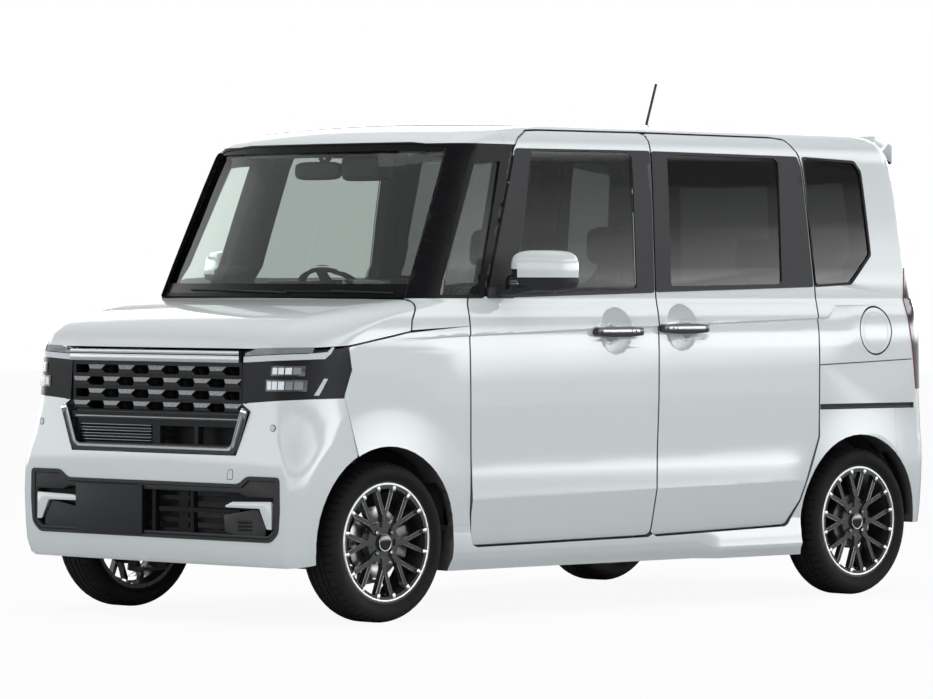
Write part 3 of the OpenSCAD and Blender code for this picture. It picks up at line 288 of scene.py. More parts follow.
def finish_of(name, a, b=None, rough=(0.4, 0.5), metal=0.0, scale=60.0, bump=0.0, bump_far=0.0005, coat=0.0,
              coat_rough=0.03, see=0.0, ior=1.45, dust=0.0, dust_top=0.5, sheen=0.0, glow=None, spec=0.5):
    """A procedural finish: two near colours over grain, with bump, coat, transparency and road film."""
    m = bpy.data.materials.new(name)
    m.use_nodes = True
    t = m.node_tree
    s = t.nodes["Principled BSDF"]
    b = b or a
    c = t.nodes.new("ShaderNodeTexCoord")
    g = place(t, GRAIN)
    t.links.new(c.outputs["Object"], g.inputs["Coordinates"])
    g.inputs["Scale"].default_value = scale
    g.inputs["Colour A"].default_value = (*a, 1)
    g.inputs["Colour B"].default_value = (*b, 1)
    g.inputs["Rough Low"].default_value, g.inputs["Rough High"].default_value = rough
    colour = g.outputs["Colour"]
    if dust:
        d = place(t, ROAD_DUST)
        t.links.new(c.outputs["Object"], d.inputs["Coordinates"])
        d.inputs["Top"].default_value = dust_top
        d.inputs["Amount"].default_value = dust
        mix = t.nodes.new("ShaderNodeMix")
        mix.data_type = "RGBA"
        t.links.new(d.outputs["Mask"], mix.inputs["Factor"])
        t.links.new(colour, mix.inputs["A"])
        mix.inputs["B"].default_value = (0.30, 0.28, 0.25, 1)
        colour = mix.outputs["Result"]
    t.links.new(colour, s.inputs["Base Color"])
    t.links.new(g.outputs["Roughness"], s.inputs["Roughness"])
    s.inputs["Metallic"].default_value = metal
    s.inputs["Coat Weight"].default_value = coat
    s.inputs["Coat Roughness"].default_value = coat_rough
    s.inputs["Transmission Weight"].default_value = see
    s.inputs["IOR"].default_value = ior
    s.inputs["Specular IOR Level"].default_value = spec
    s.inputs["Sheen Weight"].default_value = sheen
    if glow:
        s.inputs["Emission Color"].default_value = (*glow[:3], 1)
        s.inputs["Emission Strength"].default_value = glow[3]
    if bump:
        u = t.nodes.new("ShaderNodeBump")
        u.inputs["Strength"].default_value = bump
        u.inputs["Distance"].default_value = bump_far
        t.links.new(g.outputs["Height"], u.inputs["Height"])
        t.links.new(u.outputs["Normal"], s.inputs["Normal"])
    return m


def cloth_of(name, a, b, scale=420.0, sheen=0.3):
    m = finish_of(name, a, b, rough=(0.85, 0.95), scale=90.0, sheen=sheen)
    t = m.node_tree
    s = t.nodes["Principled BSDF"]
    c = t.nodes["Texture Coordinate"]
    w = place(t, WEAVE)
    w.inputs["Scale"].default_value = scale
    t.links.new(c.outputs["Object"], w.inputs["Coordinates"])
    u = t.nodes.new("ShaderNodeBump")
    u.inputs["Strength"].default_value = 0.5
    u.inputs["Distance"].default_value = 0.0012
    t.links.new(w.outputs["Height"], u.inputs["Height"])
    t.links.new(u.outputs["Normal"], s.inputs["Normal"])
    return m


PAINT = finish_of("pearl_white", (0.745, 0.775, 0.78), (0.765, 0.79, 0.785), rough=(0.30, 0.36), scale=900.0,
                  coat=1.0, coat_rough=0.02, dust=0.12, dust_top=0.45)
JAMB = finish_of("jamb_white", (0.66, 0.68, 0.675), (0.70, 0.715, 0.71), rough=(0.4, 0.5), scale=200.0)
PIANO = finish_of("gloss_black", (0.010, 0.010, 0.011), (0.014, 0.014, 0.015), rough=(0.08, 0.14), scale=120.0,
                  coat=0.6)
BLACK = finish_of("grained_black", (0.018, 0.018, 0.019), (0.028, 0.028, 0.029), rough=(0.45, 0.62), scale=900.0,
                  bump=0.25)
SEAL = finish_of("seal_rubber", (0.012, 0.012, 0.012), (0.020, 0.020, 0.020), rough=(0.6, 0.75), scale=400.0,
                 bump=0.2)
RUBBER = finish_of("tyre_rubber_look", (0.005, 0.005, 0.0055), (0.010, 0.010, 0.0095), rough=(0.70, 0.88), scale=35.0,
                   bump=0.15, dust=0.05, dust_top=0.6, spec=0.25)
WHEEL_BLACK = finish_of("wheel_black", (0.012, 0.012, 0.013), (0.018, 0.018, 0.019), rough=(0.18, 0.28), scale=300.0,
                        coat=0.8, dust=0.10, dust_top=0.7)
MACHINED = finish_of("machined_alloy", (0.42, 0.43, 0.44), (0.52, 0.53, 0.54), rough=(0.26, 0.36), metal=1.0,
                     scale=500.0)
CHROME = finish_of("bright_chrome", (0.78, 0.79, 0.80), (0.84, 0.85, 0.86), rough=(0.06, 0.12), metal=1.0, scale=80.0)
DARK_CHROME = finish_of("dark_chrome", (0.16, 0.165, 0.17), (0.22, 0.225, 0.23), rough=(0.12, 0.2), metal=1.0,
                        scale=80.0)
SILVER = finish_of("satin_silver", (0.50, 0.51, 0.52), (0.58, 0.59, 0.60), rough=(0.25, 0.35), metal=1.0, scale=300.0)
GLASS = finish_of("clear_pane", (0.80, 0.87, 0.84), (0.82, 0.88, 0.85), rough=(0.0, 0.01), see=1.0, scale=3.0)
PRIVACY = finish_of("dark_pane", (0.105, 0.112, 0.110), (0.118, 0.125, 0.122), rough=(0.0, 0.01), see=1.0, scale=3.0)
LENS = finish_of("lamp_cover", (0.62, 0.66, 0.70), (0.66, 0.70, 0.73), rough=(0.0, 0.02), see=1.0, scale=5.0)
LED = finish_of("led_block", (0.70, 0.73, 0.76), (0.80, 0.82, 0.85), rough=(0.15, 0.3), scale=150.0,
                glow=(0.9, 0.95, 1.0, 0.12))
RED_LENS = finish_of("red_cover", (0.30, 0.006, 0.010), (0.38, 0.010, 0.014), rough=(0.06, 0.12), scale=160.0,
                     coat=1.0)
AMBER = finish_of("amber_cover", (0.75, 0.22, 0.03), (0.8, 0.26, 0.04), rough=(0.1, 0.2), scale=160.0, coat=0.8)
SIDE_GLASS = finish_of("side_pane", (0.43, 0.46, 0.445), (0.45, 0.48, 0.465), rough=(0.0, 0.01), see=1.0, scale=3.0)
SMOKE = finish_of("smoked_cover", (0.045, 0.047, 0.050), (0.060, 0.062, 0.066), rough=(0.05, 0.10), scale=60.0,
                  coat=1.0)
LAMP_DARK = finish_of("lamp_dark", (0.006, 0.0065, 0.0075), (0.014, 0.015, 0.017), rough=(0.16, 0.26),
                      scale=40.0, spec=0.15)
LAMP_GREY = finish_of("lamp_grey", (0.20, 0.205, 0.21), (0.28, 0.285, 0.29), rough=(0.12, 0.2), scale=60.0)
FRIT = finish_of("screen_frit", (0.006, 0.006, 0.007), (0.009, 0.009, 0.010), rough=(0.20, 0.30), scale=200.0,
                 spec=0.3)
GRILLE_EDGE = finish_of("grille_edge", (0.045, 0.046, 0.048), (0.065, 0.066, 0.068), rough=(0.16, 0.24),
                        metal=0.7, scale=120.0, coat=0.5)
GRIP = finish_of("handle_dark", (0.030, 0.028, 0.027), (0.042, 0.040, 0.038), rough=(0.25, 0.35), scale=500.0,
                 coat=0.4)
MIRROR = finish_of("mirror_glass", (0.70, 0.73, 0.75), (0.74, 0.77, 0.79), rough=(0.01, 0.03), metal=1.0, scale=20.0)
PILLAR = finish_of("pillar_film", (0.026, 0.026, 0.028), (0.032, 0.032, 0.034), rough=(0.42, 0.52),
                   scale=700.0, spec=0.2)
SATIN = finish_of("satin_black", (0.005, 0.005, 0.006), (0.008, 0.008, 0.009), rough=(0.34, 0.44), scale=500.0,
                  spec=0.14)
# Painted shade: dark grey for panel edge faces near the skin, so that the shut lines look like dark gaps
GAP_SHADE = finish_of("painted_gap_shade", (0.070, 0.073, 0.075), (0.095, 0.098, 0.10), rough=(0.5, 0.6), scale=200.0, spec=0.2)
LIGHT_BAR = finish_of("light_bar", (0.64, 0.66, 0.68), (0.74, 0.76, 0.78), rough=(0.22, 0.32), scale=180.0, spec=0.4)
GRILLE_BAR = finish_of("grille_bar", (0.66, 0.67, 0.68), (0.72, 0.73, 0.74), rough=(0.22, 0.28), metal=0.55,
                       scale=30.0)
# Painted highlight: a lighter grey for the upward faces of the comb's ledges, which are the same dark grille part
COMB_HIGHLIGHT = finish_of("comb_painted_highlight", (0.36, 0.363, 0.367), (0.44, 0.443, 0.447), rough=(0.22, 0.32), metal=0.25,
                     scale=120.0)
STOP = finish_of("stop_red", (0.42, 0.012, 0.016), (0.52, 0.018, 0.02), rough=(0.10, 0.18), scale=300.0, coat=0.8)
UNDER = finish_of("underseal", (0.022, 0.022, 0.023), (0.040, 0.038, 0.036), rough=(0.7, 0.9), scale=45.0, bump=0.5,
                  bump_far=0.002, dust=0.5, dust_top=0.6)
STEEL = finish_of("chassis_steel", (0.05, 0.05, 0.052), (0.10, 0.095, 0.09), rough=(0.45, 0.7), metal=0.6, scale=60.0,
                  bump=0.3, dust=0.5, dust_top=0.6)
DISC = finish_of("brake_disc", (0.42, 0.41, 0.40), (0.52, 0.51, 0.50), rough=(0.28, 0.42), metal=1.0, scale=240.0)
CAST = finish_of("cast_alloy", (0.20, 0.20, 0.205), (0.28, 0.28, 0.285), rough=(0.5, 0.7), metal=0.8,
                 scale=120.0, bump=0.4)
PIPE = finish_of("exhaust_steel_look", (0.20, 0.18, 0.16), (0.34, 0.31, 0.28), rough=(0.4, 0.65), metal=0.9,
                 scale=24.0, bump=0.2)
TRIM = finish_of("cabin_trim", (0.045, 0.044, 0.043), (0.060, 0.058, 0.056), rough=(0.55, 0.7), scale=700.0,
                 bump=0.35)
TRIM_SOFT = finish_of("cabin_soft", (0.030, 0.029, 0.029), (0.040, 0.039, 0.038), rough=(0.6, 0.8),
                      scale=500.0, bump=0.4)
HEADLINER = cloth_of("headliner", (0.34, 0.34, 0.33), (0.40, 0.40, 0.39), scale=500.0)
CLOTH = cloth_of("seat_cloth_look", (0.030, 0.030, 0.032), (0.060, 0.058, 0.058))
CLOTH_SIDE = cloth_of("seat_side_look", (0.022, 0.021, 0.022), (0.034, 0.033, 0.034), scale=700.0)
PLATE = finish_of("blank_plate", (0.026, 0.027, 0.029), (0.034, 0.035, 0.037), rough=(0.45, 0.55), scale=300.0,
                  spec=0.2)
CARPET = cloth_of("floor_carpet", (0.020, 0.020, 0.021), (0.042, 0.041, 0.040), scale=260.0, sheen=0.1)
SCREEN = finish_of("display_glass", (0.008, 0.009, 0.011), (0.012, 0.013, 0.016), rough=(0.04, 0.08),
                   scale=40.0, coat=1.0)

# Making of meshes


def link(name, mesh, body, mats=(), slot=None, smooth_angle=35.0):
    """An object at the origin from a mesh, riding on a body."""
    o = bpy.data.objects.new(name, mesh)
    bpy.context.scene.collection.objects.link(o)
    for m in mats:
        mesh.materials.append(m)
    if smooth_angle:
        mesh.polygons.foreach_set("use_smooth", np.ones(len(mesh.polygons), bool))
        mesh.set_sharp_from_angle(angle=math.radians(smooth_angle))
    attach(o, body)
    return o


def mesh_of(name, verts, faces, mat_index=None):
    m = bpy.data.meshes.new(name)
    m.from_pydata([tuple(map(float, v)) for v in verts], [], [tuple(map(int, f)) for f in faces])
    if mat_index is not None:
        m.polygons.foreach_set("material_index", np.asarray(mat_index, np.int32))
    m.validate()
    return m


def bm_mesh(name, bm, recalc=True):
    if recalc:
        bmesh.ops.recalc_face_normals(bm, faces=bm.faces)
    m = bpy.data.meshes.new(name)
    bm.to_mesh(m)
    bm.free()
    return m


def mirrored(mesh, name):
    """A mirror image across the car's middle, with its faces turned the right way."""
    bm = bmesh.new()
    bm.from_mesh(mesh)
    for v in bm.verts:
        v.co.x = -v.co.x
    bmesh.ops.reverse_faces(bm, faces=bm.faces)
    m = bpy.data.meshes.new(name)
    bm.to_mesh(m)
    bm.free()
    for mat in mesh.materials:
        m.materials.append(mat)
    return m


def joined(name, meshes):
    """One mesh from several, materials kept."""
    out = bpy.data.meshes.new(name)
    bm = bmesh.new()
    mats = []
    for m in meshes:
        table = []
        for mat in m.materials:
            if mat not in mats:
                mats.append(mat)
            table.append(mats.index(mat))
        start = len(bm.faces)
        bm.from_mesh(m)
        bm.faces.ensure_lookup_table()
        if table:
            for f in bm.faces[start:]:
                f.material_index = table[min(f.material_index, len(table) - 1)]
    bm.to_mesh(out)
    bm.free()
    for mat in mats:
        out.materials.append(mat)
    return out


def with_mat(mesh, mat):
    mesh.materials.clear()
    mesh.materials.append(mat)
    return mesh


def box_mesh(low, high, bevel=0.003, segments=2, mat=None):
    bm = bmesh.new()
    bmesh.ops.create_cube(bm, size=1.0)
    low, high = Vector(low), Vector(high)
    for v in bm.verts:
        v.co = Vector([low[i] + (v.co[i] + 0.5) * (high[i] - low[i]) for i in range(3)])
    if bevel:
        bmesh.ops.bevel(bm, geom=bm.edges[:], offset=bevel, segments=segments, affect="EDGES", profile=0.5,
                        clamp_overlap=True)
    m = bm_mesh("box", bm)
    return with_mat(m, mat) if mat else m


def moved(mesh, matrix):
    mesh.transform(matrix)
    if matrix.determinant() < 0:
        mesh.flip_normals()
    return mesh


def lathe(profile, segments=64, mat=None, closed=False):
    """Rows of (radius, along) turned about X."""
    n = len(profile)
    verts, faces = [], []
    for k in range(segments):
        a = 2 * math.pi * k / segments
        for r, x in profile:
            verts.append((x, r * math.cos(a), r * math.sin(a)))
    for k in range(segments):
        j = (k + 1) % segments
        for i in range(n if closed else n - 1):
            q = (i + 1) % n
            faces.append((k * n + i, k * n + q, j * n + q, j * n + i))
    bm = bmesh.new()
    bm.from_mesh(mesh_of("lathe", verts, faces))
    bmesh.ops.remove_doubles(bm, verts=bm.verts, dist=1e-6)
    m = bm_mesh("lathe", bm)
    return with_mat(m, mat) if mat else m


def sweep(path, radius, sides=8, mat=None, closed=False, squash=1.0):
    """A round or flattened tube along points."""
    path = [Vector(p) for p in path]
    n = len(path)
    verts, faces = [], []
    up = None
    for i, p in enumerate(path):
        a = path[(i - 1) % n] if closed or i else p
        b = path[(i + 1) % n] if closed or i < n - 1 else p
        d = (b - a).normalized()
        if up is None:
            up = Vector((0, 0, 1)) if abs(d.z) < 0.9 else Vector((1, 0, 0))
        s = d.cross(up).normalized()
        up = s.cross(d).normalized()
        for k in range(sides):
            t = 2 * math.pi * k / sides
            verts.append(p + s * (radius * math.cos(t)) + up * (radius * squash * math.sin(t)))
    for i in range(n if closed else n - 1):
        j = (i + 1) % n
        for k in range(sides):
            q = (k + 1) % sides
            faces.append((i * sides + k, i * sides + q, j * sides + q, j * sides + k))
    if not closed:
        faces.append(tuple(range(sides - 1, -1, -1)))
        faces.append(tuple((n - 1) * sides + k for k in range(sides)))
    bm = bmesh.new()
    bm.from_mesh(mesh_of("sweep", verts, faces))
    m = bm_mesh("sweep", bm)
    return with_mat(m, mat) if mat else m


def inside(points, loop):
    """Which 2-D points lie in a closed loop."""
    x, y = points[:, 0], points[:, 1]
    hit = np.zeros(len(points), bool)
    n = len(loop)
    for i in range(n):
        (x0, y0), (x1, y1) = loop[i], loop[(i + 1) % n]
        if y0 == y1:
            continue
        cross = (y0 > y) != (y1 > y)
        hit ^= cross & (x < (x1 - x0) * (y - y0) / (y1 - y0) + x0)
    return hit


def dense(loop, step):
    """A closed loop with points no further apart than step."""
    out = []
    for i in range(len(loop)):
        a, b = np.array(loop[i], float), np.array(loop[(i + 1) % len(loop)], float)
        k = max(1, int(math.ceil(np.linalg.norm(b - a) / step)))
        out += [tuple(a + (b - a) * t / k) for t in range(k)]
    return out


def rounded(loop, radius, steps=4):
    """A loop with its corners rounded off."""
    out = []
    n = len(loop)
    for i in range(n):
        p, a, b = (np.array(loop[j % n], float) for j in (i, i - 1, i + 1))
        u, v = a - p, b - p
        lu, lv = np.linalg.norm(u), np.linalg.norm(v)
        r = min(radius, lu * 0.45, lv * 0.45)
        s, e = p + u / lu * r, p + v / lv * r
        for k in range(steps + 1):
            t = k / steps
            out.append(tuple((1 - t) ** 2 * s + 2 * t * (1 - t) * p + t * t * e))
    return out


def fill(loops, step):
    """Triangles inside loops (the first is outer, the rest are holes), with grid points between."""
    loops = [dense(l, step) for l in loops]
    flat = np.array([p for l in loops for p in l])
    low, high = flat.min(0), flat.max(0)
    gx, gy = np.meshgrid(np.arange(low[0] + step / 2, high[0], step), np.arange(low[1] + step / 2, high[1], step))
    grid = np.stack([gx.ravel(), gy.ravel()], 1)
    keep = inside(grid, loops[0])
    for h in loops[1:]:
        keep &= ~inside(grid, h)
    grid = grid[keep]
    if len(grid):
        near = np.array([np.min(np.hypot(*(flat - g).T)) for g in grid])
        grid = grid[near > step * 0.45]
    edges, start = [], 0
    for l in loops:
        edges += [(start + i, start + (i + 1) % len(l)) for i in range(len(l))]
        start += len(l)
    pts = [Vector(p) for p in flat] + [Vector(p) for p in grid]
    v, _, f, *_ = delaunay_2d_cdt(pts, edges, [], 0, 1e-6)
    v = np.array([tuple(p) for p in v])
    f = np.array([t for t in f if len(t) == 3])
    mid = v[f].mean(1)
    keep = inside(mid, loops[0])
    for h in loops[1:]:
        keep &= ~inside(mid, h)
    return v, f[keep]


def on_skin(uv, where, lift):
    """Points on the skin, lifted off it: where is side (y, z), front (x, z) or rear (x, z)."""
    uv = np.asarray(uv, float)
    if where == "side":
        p = np.stack([side_x(uv[:, 0], uv[:, 1]), uv[:, 0], uv[:, 1]], 1)
    elif where == "front":
        p = np.stack([uv[:, 0], front_y(uv[:, 0], uv[:, 1]), uv[:, 1]], 1)
    else:
        p = np.stack([uv[:, 0], rear_y(uv[:, 0], uv[:, 1]), uv[:, 1]], 1)
    n, _ = skin_normals(p)
    return p + n * lift


def patch_mesh(loops, where="side", lift=0.0012, depth=0.004, step=0.03, mat=None):
    """A plate that follows the skin inside the loops, with turned-in edges."""
    if not isinstance(loops[0][0], (list, tuple)):
        loops = [loops]
    uv, f = fill(loops, step)
    top, low = on_skin(uv, where, lift), on_skin(uv, where, lift - depth)
    n = len(uv)
    a, b, c = top[f[:, 0]], top[f[:, 1]], top[f[:, 2]]
    turn = np.cross(b - a, c - a)
    out, _ = skin_normals((a + b + c) / 3)
    f = np.where((np.sum(turn * out, 1) < 0)[:, None], f[:, ::-1], f)
    sides = {}
    for t in f:
        for i in range(3):
            sides[(t[i], t[(i + 1) % 3])] = True
    rim = [e for e in sides if (e[1], e[0]) not in sides]
    walls = [(e[1], e[0], e[0] + n, e[1] + n) for e in rim]
    back = [tuple(t[::-1] + n) for t in f]
    m = mesh_of("patch", np.vstack([top, low]), [tuple(t) for t in f] + walls + back)
    return with_mat(m, mat) if mat else m


def prism_mesh(loops, y0, y1, bevel=0.0, mat=None, axis="y"):
    """A front-view (x, z) outline with holes pushed from y0 to y1, or a side-view one (y, z) along x."""
    if not isinstance(loops[0][0], (list, tuple)):
        loops = [loops]
    uv, f = fill(loops, 10.0)
    n = len(uv)
    put = (lambda p, d: (p[0], d, p[1])) if axis == "y" else (lambda p, d: (d, p[0], p[1]))
    verts = [put(p, y0) for p in uv] + [put(p, y1) for p in uv]
    sides = {}
    for t in f:
        for i in range(3):
            sides[(t[i], t[(i + 1) % 3])] = True
    walls = [(e[1], e[0], e[0] + n, e[1] + n) for e in sides if (e[1], e[0]) not in sides]
    bm = bmesh.new()
    bm.from_mesh(mesh_of("prism", verts, [tuple(t) for t in f] + walls + [tuple(t[::-1] + n) for t in f]))
    bmesh.ops.recalc_face_normals(bm, faces=bm.faces)
    if bevel:
        edges = [e for e in bm.edges if len(e.link_faces) == 2 and e.calc_face_angle() > 1.0]
        bmesh.ops.bevel(bm, geom=edges, offset=bevel, segments=2, affect="EDGES", profile=0.5, clamp_overlap=True)
    m = bm_mesh("prism", bm)
    return with_mat(m, mat) if mat else m

# Repeats by geometry nodes


def new_tree(name, inputs):
    g = bpy.data.node_groups.new(name, "GeometryNodeTree")
    g.interface.new_socket("Geometry", in_out="INPUT", socket_type="NodeSocketGeometry")
    for label, kind, value in inputs:
        s = g.interface.new_socket(label, in_out="INPUT", socket_type="NodeSocket" + kind)
        if value is not None:
            s.default_value = value
    g.interface.new_socket("Geometry", in_out="OUTPUT", socket_type="NodeSocketGeometry")
    return g, g.nodes.new("NodeGroupInput"), g.nodes.new("NodeGroupOutput")


def close_tree(g, i, o, instances):
    """Realize the instances, set the finish and end the tree."""
    r = g.nodes.new("GeometryNodeRealizeInstances")
    m = g.nodes.new("GeometryNodeSetMaterial")
    g.links.new(instances, r.inputs["Geometry"])
    g.links.new(r.outputs["Geometry"], m.inputs["Geometry"])
    g.links.new(i.outputs["Finish"], m.inputs["Material"])
    g.links.new(m.outputs["Geometry"], o.inputs["Geometry"])
    return g


def maths(g, op, a, b=None):
    n = g.nodes.new("ShaderNodeMath")
    n.operation = op
    for k, v in enumerate((a, b)):
        if v is None:
            continue
        if isinstance(v, (int, float)):
            n.inputs[k].default_value = v
        else:
            g.links.new(v, n.inputs[k])
    return n.outputs["Value"]


def make_ring_tree():
    """The piece repeated round X."""
    g, i, o = new_tree("ring_of", [("Count", "Int", 8), ("Start", "Float", 0.0), ("Finish", "Material", None)])
    line = g.nodes.new("GeometryNodeMeshLine")
    g.links.new(i.outputs["Count"], line.inputs["Count"])
    line.inputs["Offset"].default_value = (0, 0, 0)
    index = g.nodes.new("GeometryNodeInputIndex").outputs["Index"]
    angle = maths(g, "DIVIDE", maths(g, "MULTIPLY", index, 2 * math.pi), i.outputs["Count"])
    angle = maths(g, "ADD", angle, i.outputs["Start"])
    turn = g.nodes.new("ShaderNodeCombineXYZ")
    g.links.new(angle, turn.inputs["X"])
    put = g.nodes.new("GeometryNodeInstanceOnPoints")
    g.links.new(line.outputs["Mesh"], put.inputs["Points"])
    g.links.new(i.outputs["Geometry"], put.inputs["Instance"])
    g.links.new(turn.outputs["Vector"], put.inputs["Rotation"])
    return close_tree(g, i, o, put.outputs["Instances"])


def make_grid_tree():
    """The piece repeated in rows, each second row shifted."""
    g, i, o = new_tree("rows_of", [("Across", "Int", 4), ("Rows", "Int", 1), ("Step", "Vector", None),
                                   ("Row Step", "Vector", None), ("Odd Shift", "Vector", None),
                                   ("Finish", "Material", None)])
    line = g.nodes.new("GeometryNodeMeshLine")
    g.links.new(maths(g, "MULTIPLY", i.outputs["Across"], i.outputs["Rows"]), line.inputs["Count"])
    line.inputs["Offset"].default_value = (0, 0, 0)
    index = g.nodes.new("GeometryNodeInputIndex").outputs["Index"]
    row = maths(g, "FLOOR", maths(g, "DIVIDE", index, i.outputs["Across"]))
    col = maths(g, "MODULO", index, i.outputs["Across"])
    odd = maths(g, "MODULO", row, 2.0)
    total = None
    for factor, vector in ((col, "Step"), (row, "Row Step"), (odd, "Odd Shift")):
        s = g.nodes.new("ShaderNodeVectorMath")
        s.operation = "SCALE"
        g.links.new(i.outputs[vector], s.inputs["Vector"])
        g.links.new(factor, s.inputs["Scale"])
        if total is None:
            total = s.outputs["Vector"]
        else:
            a = g.nodes.new("ShaderNodeVectorMath")
            g.links.new(total, a.inputs[0])
            g.links.new(s.outputs["Vector"], a.inputs[1])
            total = a.outputs["Vector"]
    at = g.nodes.new("GeometryNodeSetPosition")
    g.links.new(line.outputs["Mesh"], at.inputs["Geometry"])
    g.links.new(total, at.inputs["Position"])
    put = g.nodes.new("GeometryNodeInstanceOnPoints")
    g.links.new(at.outputs["Geometry"], put.inputs["Points"])
    g.links.new(i.outputs["Geometry"], put.inputs["Instance"])
    return close_tree(g, i, o, put.outputs["Instances"])


RING, ROWS = make_ring_tree(), make_grid_tree()


def repeated(mesh, tree, finish, **values):
    """A plain mesh of the piece repeated by a tree with the given inputs."""
    o = bpy.data.objects.new("maker", mesh)
    bpy.context.scene.collection.objects.link(o)
    mod = o.modifiers.new("repeat", "NODES")
    mod.node_group = tree
    ids = {s.name: s.identifier for s in tree.interface.items_tree if s.item_type == "SOCKET" and s.in_out == "INPUT"}
    for k, v in {**values, "Finish": finish}.items():
        mod[ids[k.replace("_", " ")]] = v
    dg = bpy.context.evaluated_depsgraph_get()
    dg.update()
    out = bpy.data.meshes.new_from_object(o.evaluated_get(dg))
    o.modifiers.clear()
    bpy.data.objects.remove(o)
    return out

# Skins from the solids

SHOULDER = (1.0315, 0.0298)      # height at y = 0 and slope of the line under the windows
FLARE = (0.4333, 0.0161)         # the same of the edge low on the doors
SHOULDER_DEPTH, SHOULDER_REACH = 0.0062, 0.30
FLARE_OUT, FLARE_REACH, FLARE_TUCK = 0.0075, 0.15, 0.11


def shoulder_form(y, z):
    """Notch under the line below the windows, run out downwards."""
    d = SHOULDER[0] + SHOULDER[1] * y - z
    step = np.clip(d / 0.006, 0, 1)
    run = 1 - np.clip((d - 0.006) / SHOULDER_REACH, 0, 1)
    return -SHOULDER_DEPTH * step * run ** 1.9


def flare_form(y, z):
    """Doors swell to an edge low down and tuck in below it."""
    e = z - FLARE[0] - FLARE[1] * y
    above = FLARE_OUT * (1 - np.clip(e / FLARE_REACH, 0, 1)) ** 1.5
    fade = np.clip((0.995 - y) / 0.10, 0, 1)
    return np.where(e > 0, above, FLARE_OUT + FLARE_TUCK * np.minimum(e, 0)) * fade


BOWLS, BOWL_R, BOWL_DEPTH = ((-0.084, 1.018), (0.270, 1.028)), 0.086, 0.021


def bowl_form(y, z):
    """Round dishes behind the door handles."""
    out = 0.0
    for cy, cz in BOWLS:
        out = out - BOWL_DEPTH * np.clip(1 - ((y - cy) ** 2 + (z - cz) ** 2) / BOWL_R ** 2, 0, 1) ** 0.8
    return out


def door_form(y, z):
    dish = bowl_form(y, z)
    return shoulder_form(y, z) * (1 + dish / BOWL_DEPTH) + flare_form(y, z) + dish


SKIRT_TOP, SKIRT_OUT, SKIRT_TUCK = 0.305, (0.0065, 0.0205), 0.06
SKIRT_STEP = ((0.366, 0.488), (0.235, 0.203))


def skirt_form(y, z):
    """The sill swells to an edge that steps down ahead of the rear wheel."""
    edge = np.interp(y, *SKIRT_STEP)
    swell = np.clip((SKIRT_TOP - z) / (SKIRT_TOP - edge), 0, 1)
    bend = np.interp(y, SKIRT_STEP[0], (0.0, 0.442))
    swell = np.interp(y, SKIRT_STEP[0], SKIRT_OUT) * swell * (1 - bend + bend * swell ** 2)
    return (swell - SKIRT_TUCK * np.clip(edge - z, 0, None)) * (y < 1.0) * (y > -1.0)


ARCH_OUT, ARCH_REACH = 0.0055, 0.15


def arch_form(y, z, axle):
    """The wing swells towards the upper part of its wheel arch."""
    r = np.hypot(y - axle, z - AXLE_Z)
    rise = np.clip((z - AXLE_Z - 0.05) / 0.15, 0, 1)
    return ARCH_OUT * np.clip(1 - (r - ARCH_R) / ARCH_REACH, 0, 1) ** 1.25 * rise


def quarter_form(y, z):
    """The line under the windows sweeps up behind the sliding door."""
    rise = 1.9 * np.clip(y - 1.085, 0, None) ** 1.35
    fade = 1 - np.clip((y - 1.20) / 0.06, 0, 1)
    upsweep = shoulder_form(y, z - rise) * np.clip((y - 0.99) / 0.04, 0, 1) * fade
    return upsweep + skirt_form(y, z) + arch_form(y, z, REAR_AXLE)


def wing_form(y, z):
    return shoulder_form(y, z) * np.clip((y + 1.08) / 0.2, 0, 1) + arch_form(y, z, FRONT_AXLE)


def line_cuts(line, offsets):
    """Planes along X through a side-view line, moved up by each offset."""
    normal = Vector((0, -line[1], 1)).normalized()
    return [(Vector((0, 0, line[0] + o)), normal) for o in offsets]


SHOULDER_CUTS = line_cuts(SHOULDER, (0.0, -0.003, -0.006, -0.03, -0.07, -0.12, -0.18, -0.25))
FLARE_CUTS = line_cuts(FLARE, (0.15, 0.105, 0.06, 0.03, 0.0))
SKIRT_SLOPE = (SKIRT_STEP[1][1] - SKIRT_STEP[1][0]) / (SKIRT_STEP[0][1] - SKIRT_STEP[0][0])
SKIRT_CUTS = [(Vector((0, 0, z)), Vector((0, 0, 1))) for z in (SKIRT_TOP, 0.27, *SKIRT_STEP[1], 0.219)]
SKIRT_CUTS += [(Vector((0, y, 0)), Vector((0, 1, 0))) for y in SKIRT_STEP[0]]
SKIRT_CUTS += [(Vector((0, SKIRT_STEP[0][0], SKIRT_STEP[1][0])), Vector((0, -SKIRT_SLOPE, 1)).normalized())]


